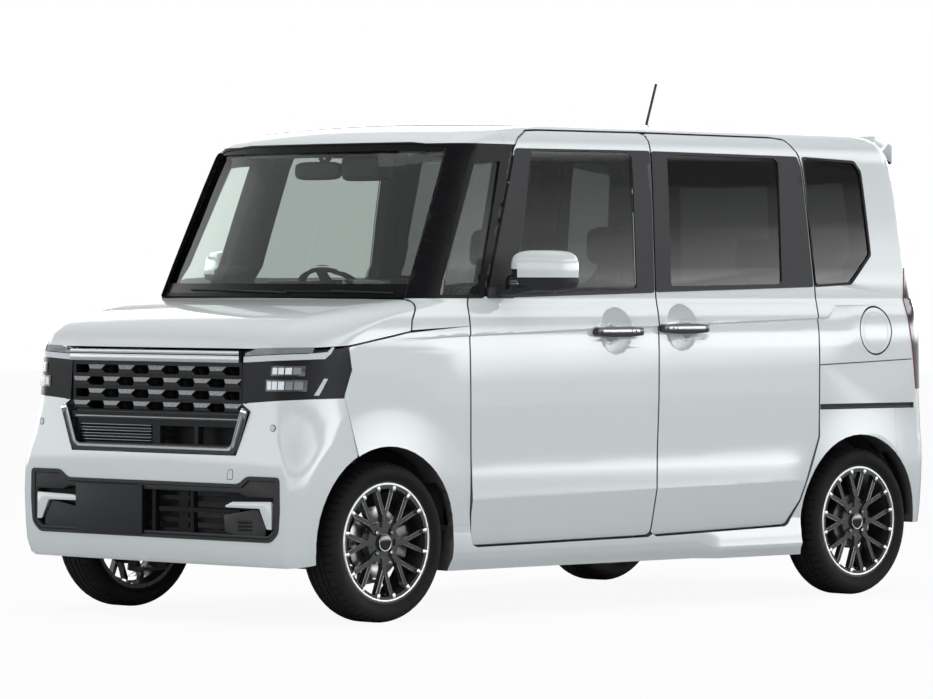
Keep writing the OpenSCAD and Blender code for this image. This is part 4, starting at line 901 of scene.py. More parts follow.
def skin_of(node, name, rules, slot, reach=0.0045, form=None, cuts=(), grain=()):
    """A merged copy of a panel with the smooth skin's normals on its outer face.
    form(y, z) swells the sides; cuts are planes that give it edges; grain refines boxes (low, high, length)."""
    mats, pick = rules
    bm = bmesh.new()
    bm.from_mesh(NODES[node].data)
    bmesh.ops.remove_doubles(bm, verts=bm.verts, dist=2e-5)
    bmesh.ops.dissolve_degenerate(bm, dist=2e-6, edges=bm.edges)
    for point, normal in cuts:
        bmesh.ops.bisect_plane(bm, geom=bm.verts[:] + bm.edges[:] + bm.faces[:], dist=1e-5, plane_co=point,
                               plane_no=normal)
    for low, high, length in grain:
        for _ in range(7):
            long = [e for e in bm.edges if e.calc_length() > length and all(
                low[i] <= (abs(e.verts[0].co[i] + e.verts[1].co[i]) / 2 if i == 0 else
                           (e.verts[0].co[i] + e.verts[1].co[i]) / 2) <= high[i] for i in range(3))]
            if not long:
                break
            bmesh.ops.subdivide_edges(bm, edges=long, cuts=1)
            bmesh.ops.triangulate(bm, faces=bm.faces)
    bmesh.ops.triangulate(bm, faces=bm.faces)
    m = bpy.data.meshes.new(name)
    bm.to_mesh(m)
    bm.free()
    for mat in mats:
        m.materials.append(mat)
    nv, nf = len(m.vertices), len(m.polygons)
    co = np.empty(nv * 3)
    m.vertices.foreach_get("co", co)
    co = co.reshape(-1, 3)
    tri = np.empty(nf * 3, np.int32)
    m.polygons.foreach_get("vertices", tri)
    tri = tri.reshape(-1, 3)
    fn = np.empty(nf * 3)
    m.polygons.foreach_get("normal", fn)
    fn = fn.reshape(-1, 3)
    out_n, far = skin_normals(co)
    mid = co[tri].mean(1)
    mid_n, mid_far = skin_normals(mid)
    on = np.abs(far) < reach
    outer = on[tri].all(1) & (np.sum(fn * mid_n, 1) > 0.75)
    m.polygons.foreach_set("material_index",
                           np.asarray(pick(mid, fn, mid_n, mid_far, far[tri].max(1), outer), np.int32))
    at = (co[tri] + 0.12 * (mid[:, None] - co[tri])).reshape(-1, 3)
    want, _ = skin_normals(at)
    if form:
        side = np.clip((np.abs(out_n[:, 0]) - 0.7) / 0.25, 0, 1) * on
        co = co + out_n * (side * form(co[:, 1], co[:, 2]))[:, None]
        m.vertices.foreach_set("co", co.ravel())
        h = 0.0008
        share = np.clip((np.abs(want[:, 0]) - 0.7) / 0.25, 0, 1)
        slope_y = (form(at[:, 1] + h, at[:, 2]) - form(at[:, 1] - h, at[:, 2])) / (2 * h)
        slope_z = (form(at[:, 1], at[:, 2] + h) - form(at[:, 1], at[:, 2] - h)) / (2 * h)
        want = want - np.stack([0 * slope_y, slope_y * share, slope_z * share], 1)
        want /= np.linalg.norm(want, axis=1)[:, None]
    o = link(name, m, BODY_OF[node], slot=slot, smooth_angle=30.0)
    m.update()
    corner = np.array([tuple(c.vector) for c in m.corner_normals]).reshape(-1, 3, 3)
    corner[outer] = want.reshape(-1, 3, 3)[outer]
    m.normals_split_custom_set(corner.reshape(-1, 3).tolist())
    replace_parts(o, node)
    return o


GAP_SHADE_DEPTH, LINING_DEPTH = 0.03, 0.02      # how far in from the skin the painted gap shade and the lining begin
ROOF_TOP_Z, SPOILER_Y = 1.70, 1.30        # painted all over above this height, and behind this place
PILLAR_REAR, REVEAL_DEPTH, REVEAL_X = -0.52, 0.12, 0.50


def panel_rules(lining=TRIM, edge=5):
    """Paint outside, painted shade in dark grey on the edge faces near the skin so that shut lines look dark, jamb
    colour deeper in, lining inside, black arches and pillars.
    """
    def pick(mid, fn, out, far, rim, outer):
        # Edge faces near the skin take index edge, the painted gap shade unless paint is asked for; deeper ones take
        # the jamb colour
        k = np.where(rim > -GAP_SHADE_DEPTH, edge, 1)
        k[outer | (far > 0.006) | ((fn[:, 2] > 0.5) & (mid[:, 2] > ROOF_TOP_Z))] = 0
        for cy, cz in BOWLS:
            k[(k == 5) & (np.hypot(mid[:, 1] - cy, mid[:, 2] - cz) < BOWL_R)] = 0
        k[(np.sum(fn * out, 1) < -0.35) & (far < -LINING_DEPTH)] = 2
        k[(mid[:, 2] > ROOF_TOP_Z) & (mid[:, 1] > SPOILER_Y) & (k == 5)] = 0
        for axle in (FRONT_AXLE, REAR_AXLE):
            k[~outer & (np.hypot(mid[:, 1] - axle, mid[:, 2] - AXLE_Z) < ARCH_R + 0.02)] = 3
        upper = (mid[:, 2] > BELT_Z + 0.004) & (mid[:, 2] < PANE_TOP + 0.02)
        k[upper & (mid[:, 1] < PILLAR_REAR) & (far > -GAP_SHADE_DEPTH)] = 4
        k[upper & ~outer & (far > -REVEAL_DEPTH) & (np.abs(mid[:, 0]) > REVEAL_X)] = 4
        return k
    return [PAINT, JAMB, lining, UNDER, SATIN, GAP_SHADE], pick


def plain(*mats):
    return list(mats), lambda mid, fn, out, far, rim, outer: np.zeros(len(mid), int)


def fixed_pane_rules():
    """Clear vent panes in front, dark panes behind."""
    return [PRIVACY, GLASS], lambda mid, fn, out, far, rim, outer: (mid[:, 1] < -0.5).astype(int)


def lamp_rules():
    """Tail lamps: red to the rear, smoked to the side."""
    return [RED_LENS, SMOKE], lambda mid, fn, out, far, rim, outer: (np.abs(fn[:, 0]) > 0.35).astype(int)


ARCH_R = 0.332
DOOR_GRAIN = [((0.5, -1.0, 0.2), (1.0, 1.1, 1.12), 0.11)]
DOOR_GRAIN += [((0.6, y - 0.095, z - 0.095), (1.0, y + 0.095, z + 0.095), 0.013) for y, z in BOWLS]
ARCH_GRAIN = [((0.5, axle - 0.52, 0.30), (1.0, axle + 0.52, 0.80), 0.035) for axle in (FRONT_AXLE, REAR_AXLE)]
for node, lining, form, cuts, grain in (
        ("body_sides", TRIM, quarter_form, SHOULDER_CUTS[:3] + SKIRT_CUTS,
         [((0.6, 1.02, 0.88), (1.0, 1.27, 1.22), 0.011)] + ARCH_GRAIN[1:]),
        ("roof_panel", HEADLINER, None, (), ()),
        ("front_fenders", UNDER, wing_form, SHOULDER_CUTS, [((0.5, -1.1, 0.7), (1.0, -0.8, 1.06), 0.06)]
         + ARCH_GRAIN[:1]),
        ("front_bumper", UNDER, None, (), ()),
        ("sliding_doors", TRIM, door_form, SHOULDER_CUTS + FLARE_CUTS, DOOR_GRAIN),
        ("rear_bumper", UNDER, lambda y, z: arch_form(y, z, REAR_AXLE), (), ARCH_GRAIN[1:]),
        ("bonnet", UNDER, None, (), ()),
        ("front_door_left", TRIM, door_form, SHOULDER_CUTS + FLARE_CUTS, DOOR_GRAIN),
        ("front_door_right", TRIM, door_form, SHOULDER_CUTS + FLARE_CUTS, DOOR_GRAIN),
        ("tailgate", TRIM, None, (), ())):
    # The fenders' edge faces keep paint; the other panels' edge faces take the painted gap shade
    rules = panel_rules(lining, 0 if node == "front_fenders" else 5)
    skin_of(node, node + "_skin", rules, "body_paint", form=form, cuts=cuts, grain=grain)
for node, rules, slot in (
        ("windscreen", plain(GLASS), "clear_glass"), ("front_door_glass_left", plain(SIDE_GLASS), "clear_glass"),
        ("front_door_glass_right", plain(SIDE_GLASS), "clear_glass"),
        ("fixed_glass", fixed_pane_rules(), "dark_glass"),
        ("tailgate_glass", plain(PRIVACY), "dark_glass"), ("tail_lamps", lamp_rules(), "red_lens"),
        ("cowl", plain(BLACK), "black_plastic"), ("headlamps", plain(LAMP_DARK), "lamp_lens")):
    skin_of(node, node + "_form", rules, slot, reach=0.012)
for node, mat in (("floor_pan", UNDER), ("rear_axle", STEEL), ("front_suspension", STEEL), ("engine", CAST),
                  ("exhaust", PIPE), ("knuckle_left", STEEL), ("knuckle_right", STEEL), ("antenna", BLACK),
                  ("dashboard", TRIM), ("steering_wheel", TRIM_SOFT),
                  ("upper_grille", PIANO), ("lower_grille", SATIN), ("front_seats", CLOTH), ("rear_seats", CLOTH)):
    with_mat(NODES[node].data, mat)
for corner in ("front_left", "front_right", "rear_left", "rear_right"):
    with_mat(NODES["tyre_" + corner].data, RUBBER)
    with_mat(NODES["rim_" + corner].data, WHEEL_BLACK)

# Pillars, seals and lines of the sides

def belt(y):
    return BELT_Z + BELT_RISE * (y - DOOR_FRONT) / (SLIDE_REAR - DOOR_FRONT)


FRAME_LOW, FRAME_HIGH = (DOOR_FRONT + 0.092, BELT_Z + 0.002), (DOOR_FRONT + 0.296, PANE_TOP + 0.006)
PANES = {
    "front": [(DOOR_FRONT + 0.246, BELT_Z + 0.006), (FRAME_LOW[0] + 0.148, BELT_Z + 0.030),
              (FRAME_HIGH[0] + 0.084, PANE_TOP), (DOOR_SPLIT - 0.062, PANE_TOP + 0.004),
              (DOOR_SPLIT - 0.090, belt(DOOR_SPLIT) + 0.004)],
    "slide": [(DOOR_SPLIT + 0.096, belt(DOOR_SPLIT) + 0.016), (DOOR_SPLIT + 0.128, PANE_TOP),
              (SLIDE_REAR - 0.152, PANE_TOP - 0.004), (SLIDE_REAR - 0.184, belt(SLIDE_REAR) + 0.004)],
    "quarter": [(SLIDE_REAR + 0.012, belt(SLIDE_REAR) + 0.002), (SLIDE_REAR - 0.006, PANE_TOP - 0.002),
                (SLIDE_REAR + 0.282, PANE_TOP - 0.014), (SLIDE_REAR + 0.314, PANE_TOP - 0.050),
                (SLIDE_REAR + 0.334, belt(SLIDE_REAR) + 0.118), (SLIDE_REAR + 0.212, belt(SLIDE_REAR) + 0.012)],
    "vent": [(DOOR_FRONT - 0.140, BELT_Z + 0.008), (DOOR_FRONT + 0.084, PANE_TOP - 0.050),
             (DOOR_FRONT + 0.216, PANE_TOP - 0.040), (DOOR_FRONT + 0.060, BELT_Z + 0.008)]}
RINGS = {
    "front": [(FRAME_LOW[0] + 0.006, BELT_Z - 0.004), (FRAME_HIGH[0] + 0.005, PANE_TOP + 0.008),
              (DOOR_SPLIT + 0.037, PANE_TOP + 0.012), (DOOR_SPLIT + 0.004, belt(DOOR_SPLIT) - 0.008)],
    "slide": [(DOOR_SPLIT + 0.013, belt(DOOR_SPLIT) - 0.006), (DOOR_SPLIT + 0.046, PANE_TOP + 0.011),
              (SLIDE_REAR - 0.042, PANE_TOP + 0.006), (SLIDE_REAR - 0.024, PANE_TOP - 0.038),
              (SLIDE_REAR - 0.004, belt(SLIDE_REAR) - 0.008)],
    "quarter": [(SLIDE_REAR + 0.005, belt(SLIDE_REAR) - 0.008), (SLIDE_REAR - 0.012, PANE_TOP + 0.006),
                (SLIDE_REAR + 0.288, PANE_TOP - 0.004), (SLIDE_REAR + 0.324, PANE_TOP - 0.044),
                (SLIDE_REAR + 0.345, belt(SLIDE_REAR) + 0.114), (SLIDE_REAR + 0.216, belt(SLIDE_REAR) + 0.001)],
    "vent": [(DOOR_FRONT - 0.245, BELT_Z - 0.004), (DOOR_FRONT + 0.000, PANE_TOP + 0.004),
             (FRAME_HIGH[0] - 0.009, PANE_TOP + 0.004), (FRAME_LOW[0] - 0.008, BELT_Z - 0.004)]}


def both_sides(make, name, body, slot, **extra):
    """A left piece and its mirror image; body has {} where the side's name goes, or is shared."""
    left = make()
    right = mirrored(left, name + "_right")
    if "{}" in body:
        link(name + "_left", left, body.format("left"), slot=slot, **extra)
        link(name + "_right", right, body.format("right"), slot=slot, **extra)
    else:
        link(name, joined(name, [left, right]), body, slot=slot, **extra)


def window_ring(kind):
    hole = rounded(PANES[kind], 0.016 if kind != "vent" else 0.008)
    return patch_mesh([rounded(RINGS[kind], 0.012), hole], "side", lift=0.0024, depth=0.008,
                      step=0.014 if kind == "vent" else 0.03, mat=PILLAR if kind in ("front", "slide") else SATIN)


both_sides(lambda: window_ring("front"), "door_garnish", "door_{}", "black_plastic")
both_sides(lambda: joined("rings", [window_ring(k) for k in ("slide", "quarter", "vent")]),
           "body_garnish", "body", "black_plastic")

SCREEN_EDGE = [(-0.662, BELT_Z + 0.010), (0.662, BELT_Z + 0.010), (0.606, PANE_TOP + 0.006),
               (0.420, PANE_TOP + 0.020), (-0.420, PANE_TOP + 0.020), (-0.606, PANE_TOP + 0.006)]
SCREEN_RING = [(-0.712, BELT_Z - 0.004), (0.712, BELT_Z - 0.004), (0.652, PANE_TOP + 0.007),
               (0.424, PANE_TOP + 0.026), (-0.424, PANE_TOP + 0.026), (-0.652, PANE_TOP + 0.007)]
SCREEN_SIGHT = [(-0.654, BELT_Z + 0.046), (0.654, BELT_Z + 0.046), (0.600, PANE_TOP - 0.006),
                (0.410, PANE_TOP - 0.004), (-0.410, PANE_TOP - 0.004), (-0.600, PANE_TOP - 0.006)]
link("screen_surround", joined("screen_surround", [
    patch_mesh([SCREEN_RING, rounded(SCREEN_EDGE, 0.03)], "front", lift=0.0030, depth=0.008, step=0.013, mat=SATIN),
    patch_mesh([rounded(SCREEN_EDGE, 0.03), rounded(SCREEN_SIGHT, 0.03)], "front", lift=0.0010, depth=0.0016,
               step=0.013, mat=FRIT)]), "body", slot="black_plastic")


def painted_seam_shade(points, width=0.0035):
    """A line of painted shade along the side's skin, where a seam's groove would look dark."""
    p, w = np.array(points), width / 2
    loop = [(y, z - w) for y, z in p] + [(y, z + w) for y, z in p[::-1]]
    return patch_mesh(loop, "side", lift=0.0006, depth=0.002, step=0.05, mat=SEAL)


def side_lines():
    slot_y = (SLIDE_REAR + 0.006, TAIL_Y - 0.110)
    # The rail box is a dark strip inside the slot, painted shade for the recess that the body colour left too light
    rail = box_mesh((HALF_W - 0.0145, slot_y[0], 0.7135), (HALF_W - 0.009, slot_y[1], 0.7335), bevel=0.0, mat=SEAL)
    runner = box_mesh((HALF_W - 0.013, slot_y[0], 0.7150), (HALF_W - 0.004, slot_y[1] - 0.01, 0.7200),
                      bevel=0.001, mat=BLACK)
    # The quarter seam is a line of painted shade
    return joined("lines", [painted_seam_shade([(SLIDE_REAR + 0.006, 0.883), (1.574, 0.901)]), rail, runner])


both_sides(side_lines, "side_lines", "body", "black_plastic")


LID_Y, LID_Z, LID_R = 1.365, 1.012, 0.088
LID_PRESSING = (0.0715, 0.0690)          # radii of the pressed circle on the lid, drawn as a grey ring of painted shade


def lid_circle(r):
    return [(LID_Y + r * math.cos(a), LID_Z + r * math.sin(a)) for a in np.linspace(0, 2 * math.pi, 48, False)]


lid = patch_mesh(lid_circle(LID_R), "side", lift=0.0, depth=0.008, step=0.02, mat=PAINT)
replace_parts(link("fuel_lid_skin", lid, BODY_OF["fuel_lid"], slot="body_paint"), "fuel_lid")
# Painted shade: a thin grey ring where the edge of the pressed circle would be shaded
lid_pressing_shade = patch_mesh([lid_circle(r) for r in LID_PRESSING], "side", lift=0.0005, depth=0.0012, step=0.02, mat=JAMB)
link("lid_pressing_shade", lid_pressing_shade, BODY_OF["fuel_lid"], slot="body_paint")


# Front: grille, lamps, intake

GRILLE_FACE = NOSE_Y + 0.016
COMB_W, COMB_H, COMB_WEB, COMB_GAP, COMB_ROWS = 0.098, 0.030, 0.013, 0.062, 4
COMB_TOP = 0.909


def comb_ledge():
    """The roof-shaped ledge between two openings: its upper face in a lighter grey as a painted highlight, then its
    lower face and ends in the dark grille finish.
    """
    half, rise = COMB_GAP / 2, COMB_H / 2
    rows = [(half + rise, rise, 0.0078), (half, 0.0, 0.0005), (half + rise, -rise, 0.0078), (half, 0.0, 0.0085)]
    verts = [(s * x, GRILLE_FACE + y, z) for x, z, y in rows for s in (-1, 1)]
    lower = [(2, 4, 5, 3), (0, 6, 2), (2, 6, 4), (1, 3, 7), (3, 5, 7)]
    return mesh_of("ledge_top", verts, [(0, 2, 3, 1)]), mesh_of("ledge_low", verts, lower)


def comb_ledges():
    """Ledges of the staggered rows."""
    pitch, drop = COMB_W + COMB_GAP, COMB_H + COMB_WEB
    top = COMB_TOP - COMB_WEB - COMB_H / 2
    out = []
    # Upper faces take the painted highlight, lower faces the dark grille finish
    for piece, mat in zip(comb_ledge(), (COMB_HIGHLIGHT, GRILLE_EDGE)):
        for first, count in ((0, 5), (1, 6)):
            start = Vector((-(count - 1) / 2 * pitch, 0, top - first * drop))
            rows = repeated(piece, ROWS, mat, Across=count, Rows=COMB_ROWS // 2, Step=(pitch, 0, 0),
                            Row_Step=(0, 0, -2 * drop), Odd_Shift=(0, 0, 0))
            out.append(moved(rows, Matrix.Translation(start)))
    return out


DUCT_X, DUCT_LOW, DUCT_BACK = 0.432, 0.600, NOSE_Y + 0.089   # the dark duct behind the openings


def grille_bars():
    upper = box_mesh((-0.447, GRILLE_FACE - 0.0115, 0.938), (0.447, GRILLE_FACE - 0.004, 0.9515), 0.003,
                     mat=GRILLE_BAR)
    lower = box_mesh((-0.447, GRILLE_FACE - 0.0105, 0.9105), (0.447, GRILLE_FACE - 0.004, 0.9355), 0.004,
                     mat=GRILLE_BAR)
    slat = box_mesh((-0.408, GRILLE_FACE + 0.002, -0.0022), (-0.022, GRILLE_FACE + 0.0085, 0.0022), 0.001)
    slats = moved(repeated(slat, ROWS, DARK_CHROME, Across=1, Rows=6, Step=(0, 0, 0), Row_Step=(0, 0, 0.0108),
                           Odd_Shift=(0, 0, 0)), Matrix.Translation((0, 0, 0.629)))
    sill = box_mesh((-0.444, GRILLE_FACE - 0.0035, 0.706), (0.444, GRILLE_FACE + 0.002, 0.716), 0.002,
                    mat=DARK_CHROME)
    core = box_mesh((-0.43, NOSE_Y + 0.085, DUCT_LOW), (0.43, DUCT_BACK, 0.900), 0.0, mat=SATIN)
    cheeks = [box_mesh((s * DUCT_X - 0.002, GRILLE_FACE + 0.006, DUCT_LOW),
                       (s * DUCT_X + 0.002, DUCT_BACK, 0.745), 0.0, mat=SATIN)
              for s in (-1, 1)]
    return [upper, lower, slats, sill, core] + cheeks


def grille_frame():
    u = [(-0.494, 0.743), (-0.436, 0.590), (0.436, 0.590), (0.494, 0.743), (0.470, 0.757), (0.462, 0.742),
         (0.414, 0.616), (-0.414, 0.616), (-0.462, 0.742), (-0.470, 0.757)]
    frame_u = prism_mesh(rounded(u, 0.03, 5), GRILLE_FACE - 0.012, GRILLE_FACE - 0.004, bevel=0.003, mat=DARK_CHROME)
    line = [(-0.468, 0.752), (-0.459, 0.736), (-0.410, 0.610), (-0.400, 0.6055), (0.400, 0.6055), (0.410, 0.610),
            (0.459, 0.736), (0.468, 0.752)]
    edge = sweep([(x, GRILLE_FACE - 0.012, z) for x, z in line], 0.0022, 6, mat=GRILLE_BAR)
    tips = [prism_mesh([(s * 0.492, 0.742), (s * 0.470, 0.755), (s * 0.460, 0.738), (s * 0.482, 0.716)],
                       GRILLE_FACE - 0.0145, GRILLE_FACE - 0.011, bevel=0.001, mat=CHROME) for s in (-1, 1)]
    return [frame_u, edge] + tips


link("grille_dress", joined("grille_dress", comb_ledges() + grille_bars() + grille_frame()), "body",
     slot="grille_plastic")

INTAKE_EDGE = [(-0.608, 0.301), (0.608, 0.301), (0.638, 0.325), (0.638, 0.504), (0.501, 0.504), (0.465, 0.478),
               (-0.465, 0.478), (-0.501, 0.504), (-0.638, 0.504), (-0.638, 0.325)]
INTAKE_SIGHT = [(-0.598, 0.314), (0.598, 0.314), (0.625, 0.334), (0.625, 0.446), (0.490, 0.446), (0.450, 0.458),
                (-0.450, 0.458), (-0.490, 0.446), (-0.625, 0.446), (-0.625, 0.334)]
INTAKE_SKIN = [(-0.612, 0.290), (0.612, 0.290), (0.652, 0.322), (0.660, 0.400), (0.658, 0.518), (0.494, 0.518),
               (0.452, 0.490), (-0.452, 0.490), (-0.494, 0.518), (-0.658, 0.518), (-0.660, 0.400), (-0.652, 0.322)]
CORNER_L = [(0.387, 0.407), (0.387, 0.415), (0.422, 0.428), (0.620, 0.433), (0.622, 0.336), (0.597, 0.337),
            (0.560, 0.407)]
CORNER_BLOCK = [(0.371, 0.380), (0.377, 0.322), (0.459, 0.306), (0.584, 0.312), (0.588, 0.343), (0.548, 0.402),
                (0.517, 0.402)]


def intake_dress():
    out = [prism_mesh([INTAKE_EDGE, INTAKE_SIGHT], NOSE_Y + 0.006, NOSE_Y + 0.036, bevel=0.004, mat=BLACK)]
    slots = [[(0.444, z), (0.519, z + 0.001), (0.517, z + 0.0075), (0.445, z + 0.0065)]
             for z in (0.326, 0.339, 0.352)]
    for s in (-1, 1):
        flip = Matrix.Scale(-1, 4, (1, 0, 0)) if s < 0 else Matrix()
        out.append(moved(prism_mesh(CORNER_L, NOSE_Y + 0.001, NOSE_Y + 0.030, bevel=0.003, mat=PAINT), flip))
        loops = [CORNER_BLOCK] + (slots if s > 0 else [])
        out.append(moved(prism_mesh(loops, NOSE_Y + 0.008, NOSE_Y + 0.032, bevel=0.0025, mat=BLACK), flip))
    out.append(patch_mesh([rounded(INTAKE_SKIN, 0.018), INTAKE_EDGE], "front", lift=0.0022, depth=0.010,
                          step=0.02, mat=BLACK))
    out.append(box_mesh((-0.404, NOSE_Y - 0.004, 0.296), (-0.047, NOSE_Y + 0.004, 0.472), 0.003, mat=PLATE))
    out.append(box_mesh((-0.36, NOSE_Y + 0.004, 0.34), (-0.09, NOSE_Y + 0.036, 0.44), 0.004, mat=BLACK))
    return out


link("intake_dress", joined("intake_dress", intake_dress()), "body", slot="black_plastic")


def lamp_dress():
    """Left lamp: light strip, two rows of light blocks, a slanted stroke and a grey upper field."""
    low = lambda x: 0.912 + 0.05 * (x - 0.456)
    strip = [(x, low(x)) for x in (0.458, 0.54, 0.62, 0.70)] + [(x, low(x) + 0.020)
                                                                for x in (0.70, 0.62, 0.54, 0.458)]
    out = [patch_mesh(strip, "front", lift=0.003, depth=0.006, step=0.02, mat=LIGHT_BAR)]
    tail = [(-1.592, 0.9245), (-1.535, 0.926), (-1.512, 0.945), (-1.497, 0.966), (-1.506, 0.966), (-1.524, 0.950),
            (-1.592, 0.944)]
    out.append(patch_mesh(tail, "side", lift=0.003, depth=0.006, step=0.02, mat=LIGHT_BAR))
    field = [(x, low(x) + 0.023) for x in (0.462, 0.56, 0.64, 0.70)] + [(0.70, 0.966), (0.52, 0.962), (0.465, 0.944)]
    out.append(patch_mesh(field, "front", lift=0.0015, depth=0.004, step=0.02, mat=LAMP_GREY))
    for z0, z1, x0, x1, n in ((0.873, 0.896, 0.600, 0.684, 4), (0.820, 0.848, 0.578, 0.690, 5)):
        w = (x1 - x0) / n
        for k in range(n):
            a, b = x0 + k * w + 0.002, x0 + (k + 1) * w - 0.002
            out.append(patch_mesh([(a, z0), (b, z0), (b, z1), (a, z1)], "front", lift=0.004, depth=0.008, step=0.02,
                                  mat=LED if k < 3 else LAMP_GREY))
        out.append(patch_mesh([(x0 - 0.006, z0 - 0.006), (x1 + 0.006, z0 - 0.006), (x1 + 0.006, z1 + 0.006),
                               (x0 - 0.006, z1 + 0.006)], "front", lift=0.002, depth=0.004, step=0.02, mat=PIANO))
    out.append(patch_mesh([(-1.577, 0.800), (-1.560, 0.800), (-1.526, 0.858), (-1.540, 0.858)], "side", lift=0.003,
                          depth=0.006, step=0.02, mat=LIGHT_BAR))
    return joined("lamp", out)


both_sides(lamp_dress, "lamp_dress", "body", "lamp_lens")


def tow_cover():
    """Shut line of the towing-eye cover, drawn as a thin ring of painted gap shade on the skin."""
    loop = rounded([(0.392, 0.503), (0.424, 0.505), (0.424, 0.540), (0.400, 0.540)], 0.008)
    hole = rounded([(0.394, 0.505), (0.422, 0.507), (0.422, 0.538), (0.401, 0.538)], 0.007)
    return patch_mesh([loop, hole], "front", lift=0.0006, depth=0.002, step=0.01, mat=GAP_SHADE)


link("tow_cover", tow_cover(), "body", slot="body_paint")


SENSOR_X, SENSOR_Z = 0.613, 0.687


def bumper_dress():
    """Parking sensors on the bumper."""
    ring = lambda r: [(SENSOR_X + r * math.cos(a), SENSOR_Z + r * math.sin(a))
                      for a in np.linspace(0, 2 * math.pi, 24, False)]
    return joined("dots", [patch_mesh([ring(0.0125), ring(0.0105)], "front", lift=0.0008, depth=0.002, mat=SEAL),
                           patch_mesh(ring(0.0105), "front", lift=0.0014, depth=0.002, mat=JAMB)])


both_sides(bumper_dress, "bumper_dress", "body", "body_paint")

# Wheels and tyres

RIM_R, SPOKE_FACE, SPOKES = 0.208, 0.060, 8
TYRE_PITCHES = 56


def curve_through(points, n):
    """Points along a smooth run through the given ones."""
    p = np.array([points[0]] + list(points) + [points[-1]], float)
    out = []
    for i in range(1, len(p) - 2):
        a, b, c, d = p[i - 1:i + 3]
        for t in np.arange(n) / n:
            out.append(0.5 * (2 * b + (c - a) * t + (2 * a - 5 * b + 4 * c - d) * t ** 2
                              + (3 * b - a - 3 * c + d) * t ** 3))
    return [tuple(q) for q in out] + [tuple(p[-2])]


def tyre_mesh():
    """Round sidewalls with fine ribs, and a tread of grooved blocks."""
    wall = curve_through([(0.2086, 0.064), (0.2135, 0.0695), (0.2225, 0.0725), (0.2350, 0.0795), (0.2460, 0.0815),
                          (0.2580, 0.0785), (0.2690, 0.0705), (0.2765, 0.0580)], 3)
    wall = [(r + (0.0006 if k % 5 == 2 else 0.0), x + (0.0008 if k in (7, 8, 15) else 0.0))
            for k, (r, x) in enumerate(wall)]
    grooves = [(0.0405, 0.0345), (0.0175, 0.0105)]
    tread = [(0.2792, 0.0500)]
    for a, b in grooves:
        tread += [(0.2810, a), (0.2752, a - 0.0008), (0.2752, b + 0.0008), (0.2810, b)]
    half = wall + tread
    profile = half + [(r, -x) for r, x in half[::-1]]
    verts, faces, n = [], [], len(profile)
    steps = [(0.0, 1), (0.15, 1), (0.17, 0), (0.98, 0)]
    for k in range(TYRE_PITCHES):
        for t, low in steps:
            for r, x in profile:
                a = 2 * math.pi * (k + t + 1.8 * x / 0.05 * (0.18 if abs(x) < 0.0345 else 0.0)) / TYRE_PITCHES
                cut = low and (abs(x) > 0.0343 and r > 0.2700)
                rr = r - 0.0042 if cut else r
                verts.append((x, rr * math.cos(a), rr * math.sin(a)))
    rows = TYRE_PITCHES * len(steps)
    for k in range(rows):
        j = (k + 1) % rows
        for i in range(n):
            q = (i + 1) % n
            faces.append((k * n + i, k * n + q, j * n + q, j * n + i))
    bm = bmesh.new()
    bm.from_mesh(mesh_of("tyre", verts, faces))
    return with_mat(bm_mesh("tyre", bm), RUBBER)


def spoke_edges():
    """Thin bright edges on the faces of one spoke's two arms, and its rim tabs."""
    fork, ring, half = 0.100, RIM_R - 0.012, 0.0085
    step = math.radians(90 / SPOKES)
    out = []
    for m in (-1, 1):
        end = np.array([ring * math.cos(step), m * ring * math.sin(step)])
        start = np.array([fork - 0.002, m * 0.004])
        d = (end - start) / np.linalg.norm(end - start)
        side = np.array([-d[1], d[0]])
        for s in (-1, 1):
            a, b = start + side * s * half * 0.75, end + side * s * half * 0.92
            a = a + d * (0.016 if s * m < 0 else 0.0)
            out.append(sweep([(SPOKE_FACE, *a), (SPOKE_FACE, *b)], 0.0011, 5, mat=MACHINED))
        tab = box_mesh((0.0585, RIM_R - 0.026, -0.0075), (0.0712, RIM_R - 0.005, 0.0075), 0.0025, mat=MACHINED)
        out.append(moved(tab, Matrix.Rotation(m * step, 4, "X")))
    return joined("spoke", out)


def wheel_dress(front):
    """Bright rim ring, tabs and spoke edges, nuts, plain cap and brake."""
    ring = lathe([(0.2005, 0.0695), (0.2005, 0.0712), (0.2030, 0.0722), (0.2080, 0.0722), (0.2105, 0.0708),
                  (0.2105, 0.0690)],
                 96, MACHINED)
    spokes = repeated(spoke_edges(), RING, MACHINED, Count=SPOKES, Start=0.0)
    nut = lathe([(0.0, 0.0640), (0.0058, 0.0640), (0.0078, 0.0625), (0.0085, 0.0480), (0.0, 0.0480)], 6)
    nut = moved(nut, Matrix.Translation((0, 0.05, 0)))
    nuts = repeated(nut, RING, CHROME, Count=4, Start=math.pi / 4)
    cap = lathe([(0.0, 0.0672), (0.020, 0.0670), (0.0265, 0.0660), (0.0285, 0.0638), (0.0295, 0.0600)], 40, PIANO)
    cap_ring = lathe([(0.0275, 0.0652), (0.0290, 0.0655), (0.0300, 0.0645), (0.0300, 0.0630)], 40, SILVER)
    disc_x = 0.0112 if front else 0.0302
    disc = [(0.074, disc_x), (0.0752, disc_x + 0.0008), (0.1235, disc_x + 0.0008), (0.1255, disc_x)] if front else \
        [(0.062, disc_x), (0.064, disc_x + 0.001), (0.098, disc_x + 0.001), (0.102, disc_x - 0.002)]
    brake = lathe(disc, 64, DISC if front else CAST)
    valve = moved(sweep([(0.050, 0.0, 0.0), (0.064, 0.0, 0.0)], 0.0032, 8, mat=BLACK),
                  Matrix.Translation((0, 0.0, -0.181)))
    return joined("dress", [ring, spokes, nuts, cap, cap_ring, brake, valve])


def caliper_mesh():
    """Brake caliper behind the front wheel's spokes."""
    out = []
    for a in np.radians([-16, 0, 16]):
        block = box_mesh((-0.020, 0.088, -0.021), (0.032, 0.142, 0.021), 0.006, mat=CAST)
        out.append(moved(block, Matrix.Rotation(a, 4, "X")))
    return joined("caliper", out)


